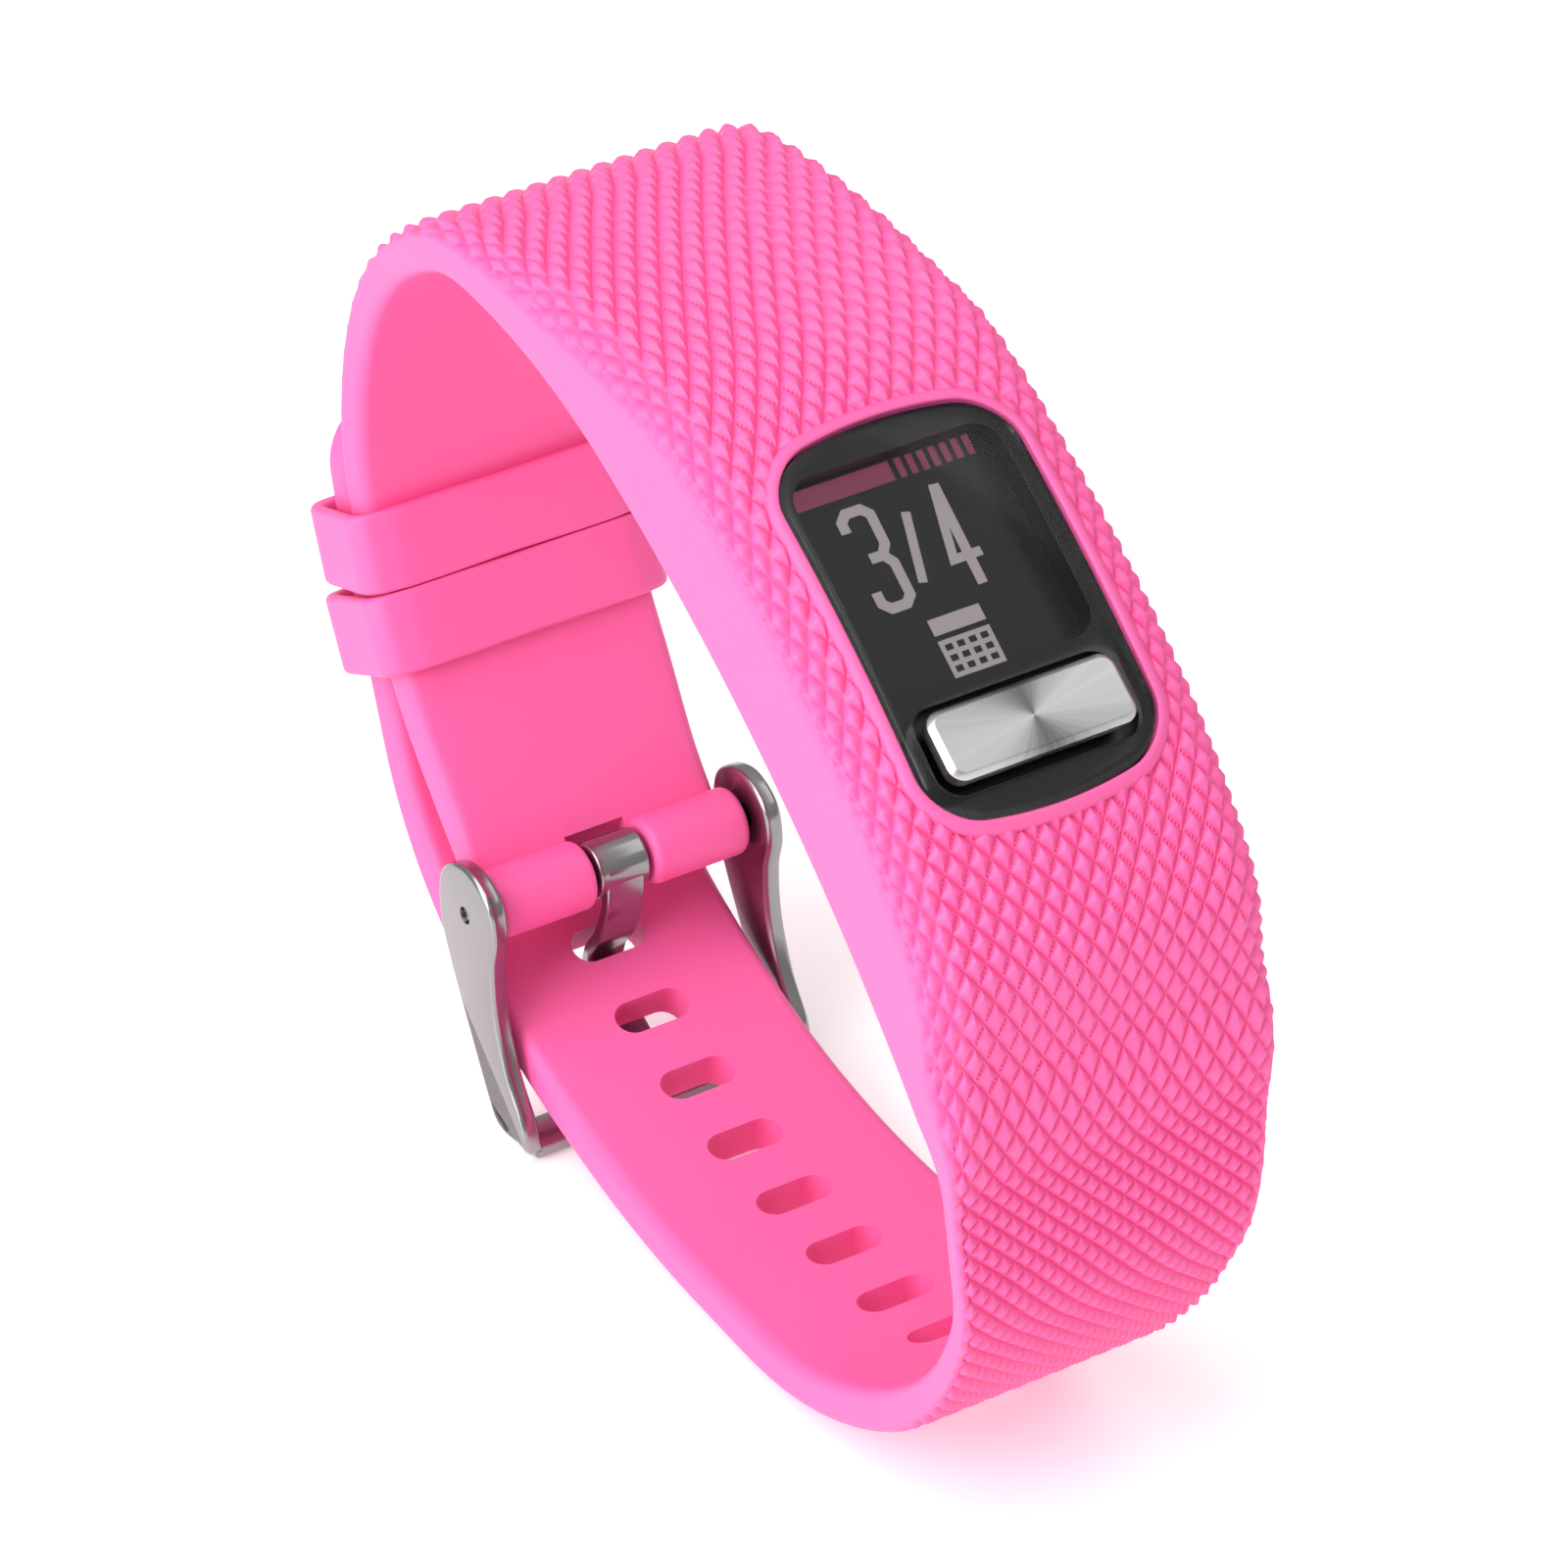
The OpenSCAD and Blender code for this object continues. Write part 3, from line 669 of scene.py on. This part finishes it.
def make_keeper(name, index):
    gap = LAYER_GAP[index]
    inner = -KEEPER_CLEARANCE
    outer = 2 * STRAP_THICKNESS + gap + KEEPER_CLEARANCE
    hw = half_width(KEEPER_START) + KEEPER_CLEARANCE
    w, low, high = hw + KEEPER_WALL, inner - KEEPER_WALL, outer + KEEPER_WALL
    right = [(w - x, low + n) for x, n in KEEPER_SKIN_CORNER]
    right += [(w - x, high - n) for x, n in KEEPER_OUTER_CORNER]
    outline = soft_corners(right + [(-x, n) for x, n in reversed(right)], KEEPER_ROUNDING)
    hole = rounded_outline((hw, (outer - inner) / 2), KEEPER_HOLE_CORNER) + [0, (outer + inner) / 2]
    outline = ray_outline(outline, KEEPER_RAYS, KEEPER_FLATTEN)
    hole = ray_outline(hole, KEEPER_RAYS, KEEPER_FLATTEN)
    half = KEEPER_LENGTH / 2
    pose = skin(KEEPER_START + half + index * KEEPER_PITCH)
    rings = []
    for along, share, back in keeper_profile(half):
        across = outline - hole
        across /= np.linalg.norm(across, axis=1)[:, None]
        loop = outline - across * back if share else hole + across * back
        rings.append([on_skin(pose, x, along, n) for x, n in loop])
    shape = Shape()
    shape.rings(rings, looped=True)
    return shape.build(name, 60)


# ---------- buckle ----------


def make_buckle():
    shape = Shape()
    outline = closed_curve(ARM_OUTLINE, 8)
    if np.sum(outline[:, 0] * np.roll(outline[:, 1], -1) - outline[:, 1] * np.roll(outline[:, 0], -1)) < 0:
        outline = outline[::-1]
    outer = BUCKLE_WIDTH / 2

    def round_corner(rings):
        """Pulls the bottom of an arm in, so that it turns into the bar with a rounded corner."""
        drop = np.clip(BUCKLE_CORNER - rings[..., 2], 0, BUCKLE_CORNER)
        pull = BUCKLE_CORNER - np.sqrt(BUCKLE_CORNER ** 2 - drop ** 2)
        rings[..., 0] -= np.sign(rings[..., 0]) * pull
        return rings

    for side in (-1, 1):
        x0, x1 = sorted((side * outer, side * (outer - ARM_THICKNESS)))
        plate(shape, outline, x0, x1, ARM_EDGE, bend=round_corner)
    arms = shape.build("buckle_skin", 45)
    holes = Shape()
    turned(holes, PIN, [(-FAR, ARM_HOLE_RADIUS), (FAR, ARM_HOLE_RADIUS)], 40)
    cut(arms, holes.build("buckle_holes"))
    bar = Shape()
    r = BAR_SIZE[1] / 2
    a = np.radians(np.linspace(-90, 90, 13))
    right = np.stack([BAR_SIZE[0] / 2 - r + r * np.cos(a), r * np.sin(a)], axis=1)
    section = np.concatenate([right, -right]) + BAR_CENTRE
    reach = outer - ARM_THICKNESS - 0.1
    rings = [[side_point(x, p) for p in section] for x in np.linspace(-reach, reach, 9)]
    first = bar.rings(rings)
    bar.caps(first, len(rings), len(section))
    join(arms, bar.build("buckle_bar"))
    smooth(arms, 45)
    return arms


def rounded_end(d, length, smallest):
    """Share of the full size at the distance d from a tip that is rounded over the length."""
    return smallest + (1 - smallest) * math.sin(math.radians(90 * min(1, d / length)))


def make_tongue():
    line = open_curve(TONGUE_LINE, 10)
    along = np.gradient(line, axis=0)
    normals = np.stack([-along[:, 1], along[:, 0]], axis=1)
    normals /= np.linalg.norm(normals, axis=1)[:, None]
    length = np.concatenate([[0], np.cumsum(np.linalg.norm(np.diff(line, axis=0), axis=1))])
    half_w = TONGUE_WIDTH / 2
    half_t = TONGUE_THICKNESS / 2
    edge = 0.25
    corner = np.radians(np.linspace(0, 90, 5))
    quarter = np.stack([half_w - edge + edge * np.cos(corner), half_t - edge + edge * np.sin(corner)], axis=1)
    section = np.concatenate([
        quarter, (quarter * [-1, 1])[::-1], quarter * [-1, -1], (quarter * [1, -1])[::-1],
    ])
    rings = []
    for p, n, d in zip(line, normals, length[-1] - length):
        narrow = rounded_end(d, 1.1, 0.55)
        flat = rounded_end(d, 0.5, 0.4)
        rings.append([side_point(x * narrow, p + n * t * flat) for x, t in section])
    shape = Shape()
    first = shape.rings(rings)
    shape.caps(first, len(rings), len(section))
    tongue = shape.build("tongue_skin", 45)
    roll_shape = Shape()
    outer = TUBE_RADIUS + ROLL_CLEARANCE + TONGUE_THICKNESS
    turned(roll_shape, PIN, rounded_profile(-ROLL_WIDTH / 2, ROLL_WIDTH / 2, outer, ROLL_EDGE))
    roll = roll_shape.build("tongue_roll")
    bore = Shape()
    turned(bore, PIN, [(-FAR, TUBE_RADIUS + ROLL_CLEARANCE), (FAR, TUBE_RADIUS + ROLL_CLEARANCE)], 32)
    cut(roll, bore.build("tongue_bore"))
    join(tongue, roll)
    smooth(tongue, 45)
    return tongue


# ---------- the black face, the display and the button ----------


def face_height(t, level):
    return math.sqrt((SKIN_RADIUS + level) ** 2 - t * t) - SKIN_RADIUS


def fill_between(shape, outer_loop, hole_loop, level, spacing=0.55):
    """A curved face between two outlines in x, T, at the given level."""
    grid_x = np.arange(-FACE_HALF[0], FACE_HALF[0], spacing)
    grid_t = np.arange(-FACE_HALF[1], FACE_HALF[1], spacing)

    def inside(loop, x, t):
        a, b = loop, np.roll(loop, -1, axis=0)
        crossing = (a[:, 1] > t) != (b[:, 1] > t)
        with np.errstate(divide="ignore", invalid="ignore"):
            at = a[:, 0] + (t - a[:, 1]) * (b[:, 0] - a[:, 0]) / (b[:, 1] - a[:, 1])
        return np.count_nonzero(crossing & (x < at)) % 2 == 1

    def clear(loop, x, t):
        return np.min(np.hypot(loop[:, 0] - x, loop[:, 1] - t)) > 0.6 * spacing

    def between(x, t):
        return inside(outer_loop, x, t) and not inside(hole_loop, x, t)

    extra = [
        (x, t) for x in grid_x for t in grid_t
        if between(x, t) and clear(outer_loop, x, t) and clear(hole_loop, x, t)
    ]
    n, m = len(outer_loop), len(hole_loop)
    flat = [Vector(p) for p in outer_loop] + [Vector(p) for p in hole_loop] + [Vector(p) for p in extra]
    edges = [(i, (i + 1) % n) for i in range(n)] + [(n + i, n + (i + 1) % m) for i in range(m)]
    points, _, faces, *_ = delaunay_2d_cdt(flat, edges, [], 0, 1e-6)
    kept = []
    for face in faces:
        x, t = np.mean([points[i] for i in face], axis=0)
        if between(x, t):
            kept.append(list(face))
    shape.add([module_point(x, t, face_height(t, level)) for x, t in points], kept)


def make_lens():
    edge, hole_edge = 0.5, 0.16
    low = FACE_LEVEL - LENS_THICKNESS + 0.01
    hole_half = (BUTTON_SIZE[0] / 2 + BUTTON_GAP, BUTTON_SIZE[1] / 2 + BUTTON_GAP)

    def outer_loop(back):
        return rounded_outline(FACE_HALF, FACE_CORNER, grow=-back, bow=FACE_BOW)

    def hole_loop(grow):
        outline = rounded_outline(hole_half, BUTTON_CORNER + BUTTON_GAP, grow=grow, side_steps=16)
        return outline + [0, BUTTON_AT]

    def rounded_rim(loop, rim, angles):
        """Outlines and levels over a rounded rim. A rim cut into the lens grows and one round it shrinks."""
        arc = [(loop(rim * (1 - math.sin(a))), FACE_LEVEL - rim * (1 - math.cos(a))) for a in angles]
        return arc + [(loop(0), low)]

    shape = Shape()
    steps = 7
    angles = [math.radians(90 * i / steps) for i in range(steps + 1)]
    outer = rounded_rim(outer_loop, edge, angles)
    hole = rounded_rim(hole_loop, hole_edge, angles)
    for rim in (outer, hole):
        shape.rings([[module_point(x, t, face_height(t, level)) for x, t in loop] for loop, level in rim])
    fill_between(shape, outer[0][0], hole[0][0], FACE_LEVEL)
    fill_between(shape, outer[-1][0], hole[-1][0], low)
    lens = shape.build("lens_skin", 40)
    merged = bmesh.new()
    merged.from_mesh(lens.data)
    bmesh.ops.remove_doubles(merged, verts=merged.verts, dist=1e-6)
    bmesh.ops.recalc_face_normals(merged, faces=merged.faces)
    merged.to_mesh(lens.data)
    merged.free()
    smooth(lens, 40)
    return lens


def module_matrix(x, t, n):
    """Placement whose local X, Y and Z are the module's x, T and N."""
    _, up, out = module_axes()
    rotation = Matrix(((1, 0, 0), (0, up[0], out[0]), (0, up[1], out[1])))
    return Matrix.Translation(Vector(module_point(x, t, n)) * MM) @ rotation.to_4x4()


def make_button():
    chamfer = 0.32
    half = (BUTTON_SIZE[0] / 2, BUTTON_SIZE[1] / 2)
    top = BUTTON_TOP - BUTTON_LOW
    low = top - chamfer
    profile = [(0, 0), (0, low), (0.03, low + 0.05), (chamfer - 0.05, top - 0.03), (chamfer, top)]
    rings = []
    for back, z in profile:
        loop = rounded_outline(half, BUTTON_CORNER, grow=-back)
        rings.append([(x, t, z) for x, t in loop])
    shape = Shape()
    first = shape.rings(rings)
    shape.caps(first, len(rings), len(rings[0]))
    return shape.build("button_skin", 30, module_matrix(0, BUTTON_AT, BUTTON_LOW))


def box_piece(shape, x0, x1, t0, t1, slant=0.0):
    """A thin plate on the display. slant shifts its top edge along x."""
    corners = [(x0, t0), (x1, t0), (x1 + slant, t1), (x0 + slant, t1)]
    rings = [[module_point(x, t, n) for x, t in corners] for n in SIGN_LEVELS]
    first = shape.rings(rings)
    shape.caps(first, 2, 4)


def stroke_line(shape, points, width):
    """A flat mitred line through the points, as a thin plate on the display."""
    p = np.array(points, float)
    along = np.diff(p, axis=0)
    along /= np.linalg.norm(along, axis=1)[:, None]
    sides = np.stack([-along[:, 1], along[:, 0]], axis=1)
    mitres = [sides[0]]
    for one, two in zip(sides[:-1], sides[1:]):
        mitres.append((one + two) / (1 + one @ two))
    mitres = np.array(mitres + [sides[-1]]) * width / 2
    rings = []
    for q, m in zip(p, mitres):
        low, high = SIGN_LEVELS
        corners = [(q + m, low), (q - m, low), (q - m, high), (q + m, high)]
        rings.append([module_point(c[0], c[1], n) for c, n in corners])
    first = shape.rings(rings)
    shape.caps(first, len(rings), 4)


def make_digits():
    """A generic date, three over four, as strokes of one width."""
    shape = Shape()
    stroke = 0.56
    three = [(-3.5, 6.1), (-3.5, 6.7), (-3.1, 7.1), (-2.2, 7.1), (-1.8, 6.7), (-1.8, 5.0), (-2.2, 4.45),
             (-1.8, 3.9), (-1.8, 2.05), (-2.2, 1.65), (-3.1, 1.65), (-3.5, 2.05), (-3.5, 2.7)]
    stroke_line(shape, three, stroke)
    stroke_line(shape, [(-2.95, 4.45), (-2.1, 4.45)], stroke)
    stroke_line(shape, [(-0.85, 2.4), (0.05, 6.2)], 0.5)
    stroke_line(shape, [(2.2, 1.35), (2.2, 7.1)], stroke)
    stroke_line(shape, [(2.15, 7.1), (1.3, 3.0), (2.95, 3.0)], 0.5)
    return shape.build("display_digits", 30)


def make_calendar():
    """A small calendar sign: a header and a sheet with open squares."""
    shape = Shape()
    box_piece(shape, -1.65, 1.42, -0.47, 0.44)
    left, right, low, high = -1.65, 1.42, -2.87, -0.78
    columns, rows, frame_line = 4, 3, 0.26
    cell_w = (right - left - frame_line) / columns
    cell_h = (high - low - frame_line) / rows
    for i in range(columns + 1):
        box_piece(shape, left + i * cell_w, left + i * cell_w + frame_line, low, high)
    for j in range(rows + 1):
        box_piece(shape, left, right, low + j * cell_h, low + j * cell_h + frame_line)
    return shape.build("display_calendar", 30)


def make_bar():
    """Progress bar at the top of the display: a filled part and separate segments."""
    shape = Shape()
    low, high = 7.95, 9.05
    box_piece(shape, -6.0, 0.4, low, high)
    for i in range(7):
        x = 0.75 + i * 0.68
        box_piece(shape, x, x + 0.38, low, high)
    return shape.build("display_bar", 30)


# ---------- materials ----------


def linear(rgb):
    """sRGB 0-255 to linear, with alpha."""
    values = [c / 255 for c in rgb]
    return [c / 12.92 if c <= 0.04045 else ((c + 0.055) / 1.055) ** 2.4 for c in values] + [1.0]


GRAIN_HEIGHT = 0.00001  # metres
WEAR_SCALE = 180


def material(name, rgb, roughness=0.5, metallic=0.0, grain=None, wear=0.0, **inputs):
    """Principled material. grain is the scale of a fine bump per metre, and wear varies the roughness."""
    mat = bpy.data.materials.new(name)
    mat.use_nodes = True
    tree = mat.node_tree
    shader = tree.nodes["Principled BSDF"]
    shader.inputs["Base Color"].default_value = linear(rgb)
    shader.inputs["Roughness"].default_value = roughness
    shader.inputs["Metallic"].default_value = metallic
    for key, value in inputs.items():
        shader.inputs[key.replace("_", " ")].default_value = value
    coordinates = tree.nodes.new("ShaderNodeTexCoord")
    if grain:
        noise = tree.nodes.new("ShaderNodeTexNoise")
        noise.inputs["Scale"].default_value = grain
        noise.inputs["Detail"].default_value = 3
        tree.links.new(coordinates.outputs["Object"], noise.inputs["Vector"])
        bump = tree.nodes.new("ShaderNodeBump")
        bump.inputs["Strength"].default_value = 0.6
        bump.inputs["Distance"].default_value = GRAIN_HEIGHT
        tree.links.new(noise.outputs["Fac"], bump.inputs["Height"])
        tree.links.new(bump.outputs["Normal"], shader.inputs["Normal"])
    if wear:
        cloud = tree.nodes.new("ShaderNodeTexNoise")
        cloud.inputs["Scale"].default_value = WEAR_SCALE
        cloud.inputs["Detail"].default_value = 4
        tree.links.new(coordinates.outputs["Object"], cloud.inputs["Vector"])
        spread = tree.nodes.new("ShaderNodeMapRange")
        spread.inputs["To Min"].default_value = roughness - wear
        spread.inputs["To Max"].default_value = roughness + wear
        tree.links.new(cloud.outputs["Fac"], spread.inputs["Value"])
        tree.links.new(spread.outputs["Result"], shader.inputs["Roughness"])
    return mat


def glow(mat, rgb, strength=1.0):
    shader = mat.node_tree.nodes["Principled BSDF"]
    shader.inputs["Emission Color"].default_value = linear(rgb)
    shader.inputs["Emission Strength"].default_value = strength
    return mat


# The button's light and dark rays are painted highlight and painted shade in its base colour: the first value
# turns them, the last sets their darkest and lightest levels, and STREAKS sets the fine brushing streaks.
PAINTED_RAY_TURN = 0.15
STREAKS = 9.0
PAINTED_RAY_LEVELS = (0.12, 0.6)


def brushed_with_painted_rays(mat):
    """Metal with circular brushing: fine streaks from the brushing, and light and dark rays from the middle
    of the piece that are painted highlight and painted shade in the base colour.
    """
    tree = mat.node_tree
    shader = tree.nodes["Principled BSDF"]
    coordinates = tree.nodes.new("ShaderNodeTexCoord")
    parts = tree.nodes.new("ShaderNodeSeparateXYZ")
    tree.links.new(coordinates.outputs["Object"], parts.inputs["Vector"])

    def maths(operation, *values):
        node = tree.nodes.new("ShaderNodeMath")
        node.operation = operation
        for socket, value in zip(node.inputs, values):
            if isinstance(value, (int, float)):
                socket.default_value = value
            else:
                tree.links.new(value, socket)
        return node.outputs[0]

    angle = maths("ARCTAN2", parts.outputs["Y"], parts.outputs["X"])
    # Painted highlight and painted shade: light and dark rays set by the angle round the middle.
    rays = maths("COSINE", maths("MULTIPLY", maths("SUBTRACT", angle, PAINTED_RAY_TURN), 2))
    ring = tree.nodes.new("ShaderNodeCombineXYZ")
    tree.links.new(maths("MULTIPLY", maths("COSINE", angle), STREAKS), ring.inputs["X"])
    tree.links.new(maths("MULTIPLY", maths("SINE", angle), STREAKS), ring.inputs["Y"])
    streaks = tree.nodes.new("ShaderNodeTexNoise")
    streaks.inputs["Scale"].default_value = 1
    tree.links.new(ring.outputs["Vector"], streaks.inputs["Vector"])
    level = maths("ADD", rays, maths("MULTIPLY", maths("SUBTRACT", streaks.outputs["Fac"], 0.5), 0.7))
    ramp = tree.nodes.new("ShaderNodeMapRange")
    ramp.inputs["From Min"].default_value = -1.2
    ramp.inputs["From Max"].default_value = 1.2
    ramp.inputs["To Min"].default_value = PAINTED_RAY_LEVELS[0]
    ramp.inputs["To Max"].default_value = PAINTED_RAY_LEVELS[1]
    tree.links.new(level, ramp.inputs["Value"])
    tree.links.new(ramp.outputs["Result"], shader.inputs["Base Color"])
    return mat


MATERIALS = {
    "silicone": material(
        "silicone_pink", (246, 97, 164), 0.5, grain=3200, wear=0.05,
        Subsurface_Weight=0.06, Subsurface_Radius=(1.0, 0.35, 0.5), Subsurface_Scale=0.0012,
    ),
    "seal": material("seal_rubber", (52, 52, 56), 0.6, grain=2600),
    "steel": material("polished_steel", (152, 151, 150), 0.2, 1.0, wear=0.03),
    "button_metal": brushed_with_painted_rays(material("button_brushing_painted_rays", (190, 190, 190), 0.34, 1.0, wear=0.03)),
    "black_plastic": material("black_plastic", (11, 11, 12), 0.3, wear=0.03),
    "lens": material(
        "lens_glass", (225, 225, 227), 0.02, Transmission_Weight=1.0, IOR=1.2,
    ),
    # The dark display panel glows: painted light standing in for the light that the lens keeps off it.
    "screen": glow(material("screen_panel_painted_glow", (10, 10, 10), 0.4, wear=0.02), (14, 14, 14)),
    "grey_plastic": material("grey_plastic", (90, 90, 94), 0.5, grain=2400),
    "board": material("circuit_board", (22, 96, 52), 0.35, wear=0.06),
    "chip": material("chip_body", (24, 24, 26), 0.45, grain=3000),
    "contact_metal": material("contact_metal", (214, 170, 96), 0.28, 1.0, wear=0.05),
    "cell_metal": material("cell_metal", (176, 178, 182), 0.24, 1.0, wear=0.05),
}
# The digits and the bar glow as the display's own light, at a strength that also stands in as painted light
# for the light the lens keeps off them.
DIGIT_GLOW = glow(material("digit_glow", (60, 58, 58), 0.5, wear=0.02), (168, 158, 162))
BAR_GLOW = glow(material("bar_glow", (40, 20, 26), 0.5, wear=0.02), (132, 60, 82))


def dress(obj, slot, body, replaced=(), finish=None):
    """Gives a new piece its material, body and material slot, and hides the CAD nodes it stands for."""
    obj.data.materials.clear()
    obj.data.materials.append(finish or MATERIALS[slot])
    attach(obj, body)
    if replaced:
        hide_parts(*replaced)


dress(make_band(), "silicone", "strap", ["band"])
dress(make_keeper("keeper_upper_skin", 0), "silicone", "upper_loop", ["keeper_upper"])
dress(make_keeper("keeper_lower_skin", 1), "silicone", "lower_loop", ["keeper_lower"])
dress(make_buckle(), "steel", "buckle", ["buckle_frame"])
dress(make_tongue(), "steel", "tongue", ["buckle_tongue"])
dress(make_lens(), "lens", "tracker_module", ["face_lens"])
dress(make_button(), "button_metal", "button", ["button_cap"])
dress(make_digits(), "screen", "tracker_module", finish=DIGIT_GLOW)
dress(make_calendar(), "screen", "tracker_module", finish=DIGIT_GLOW)
dress(make_bar(), "screen", "tracker_module", finish=BAR_GLOW)

CARRIED = {
    "steel": ["spring_bar_tube", "spring_bar_tip_left", "spring_bar_tip_right", "spring_bar_coil",
              "back_cover", "back_cover_screws"],
    "black_plastic": ["module_case", "button_stem"],
    "screen": ["display_panel"],
    "seal": ["button_seal", "back_cover_seal"],
    "contact_metal": ["display_connector", "antenna_strip", "cell_bridge", "cell_contacts"],
    "cell_metal": ["battery_cell_upper", "battery_cell_lower", "tact_switch"],
    "board": ["main_board"],
    "chip": ["board_chips"],
    "grey_plastic": ["battery_cradle"],
}
for slot_name, nodes in CARRIED.items():
    for node in nodes:
        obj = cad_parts[node]
        obj.data.materials.clear()
        obj.data.materials.append(MATERIALS[slot_name])

# ---------- studio ----------

CAMERA_AZIMUTH = -32.0
CAMERA_ELEVATION = 35.1
CAMERA_DISTANCE = 416.95
CAMERA_TARGET = (0, -1.89, 30.2)
WORLD_STRENGTH = (0.4, 0.72)  # at the horizon and overhead


def make_floor():
    mesh = bpy.data.meshes.new("floor")
    half = 3.0
    corners = [(-half, -half, 0), (half, -half, 0), (half, half, 0), (-half, half, 0)]
    mesh.from_pydata(corners, [], [[0, 1, 2, 3]])
    floor = bpy.data.objects.new("floor", mesh)
    bpy.context.collection.objects.link(floor)
    white = (252, 252, 252)
    floor.data.materials.append(glow(material("floor_white", white, 0.38), white, 0.26))
    return floor


def area_light(name, place, target, size, power):
    data = bpy.data.lights.new(name, "AREA")
    data.shape = "RECTANGLE"
    data.size, data.size_y = size
    data.energy = power
    light = bpy.data.objects.new(name, data)
    bpy.context.collection.objects.link(light)
    light.location = place
    light.rotation_euler = (Vector(target) - Vector(place)).to_track_quat("-Z", "Y").to_euler()
    return light


CARD_TURN = 14.4

# Each light has its name, place, target and size in metres, then its power
middle = (0, 0, 0.03)
make_floor()
area_light("key_left", (-0.6, -0.1, 0.3), middle, (0.5, 0.5), 3.5)
area_light("top_soft", (-0.3, 0.0, 0.7), middle, (0.6, 0.6), 2.6)
# A long card above and to the right that faces straight down, turned about the vertical
card = area_light("card_right", (0.56, -0.25, 0.7), (0.56, -0.25, 0), (0.36, 0.8), 0.9)
card.rotation_euler = (0, 0, math.radians(CARD_TURN))

world = bpy.data.worlds.new("studio")
bpy.context.scene.world = world
world.use_nodes = True
sky = world.node_tree
background = sky.nodes["Background"]
direction = sky.nodes.new("ShaderNodeTexCoord")
height = sky.nodes.new("ShaderNodeSeparateXYZ")
sky.links.new(direction.outputs["Generated"], height.inputs["Vector"])
fade = sky.nodes.new("ShaderNodeMapRange")
fade.inputs["To Min"].default_value = WORLD_STRENGTH[0]
fade.inputs["To Max"].default_value = WORLD_STRENGTH[1]
sky.links.new(height.outputs["Z"], fade.inputs["Value"])
sky.links.new(fade.outputs["Result"], background.inputs["Strength"])
background.inputs["Color"].default_value = (1, 1, 1, 1)
bpy.context.scene.view_settings.view_transform = "Standard"

camera_data = bpy.data.cameras.new("camera")
camera_data.lens = 180
camera_data.sensor_width = 36
camera = bpy.data.objects.new("camera", camera_data)
bpy.context.collection.objects.link(camera)
# Around the band by the azimuth from -Y, up by the elevation
azimuth, elevation = math.radians(CAMERA_AZIMUTH), math.radians(CAMERA_ELEVATION)
away = Vector((
    math.sin(azimuth) * math.cos(elevation), -math.cos(azimuth) * math.cos(elevation), math.sin(elevation),
))
camera.location = (Vector(CAMERA_TARGET) + away * CAMERA_DISTANCE) * MM
camera.rotation_euler = away.to_track_quat("Z", "Y").to_euler()
bpy.context.scene.camera = camera

bpy.context.view_layer.update()
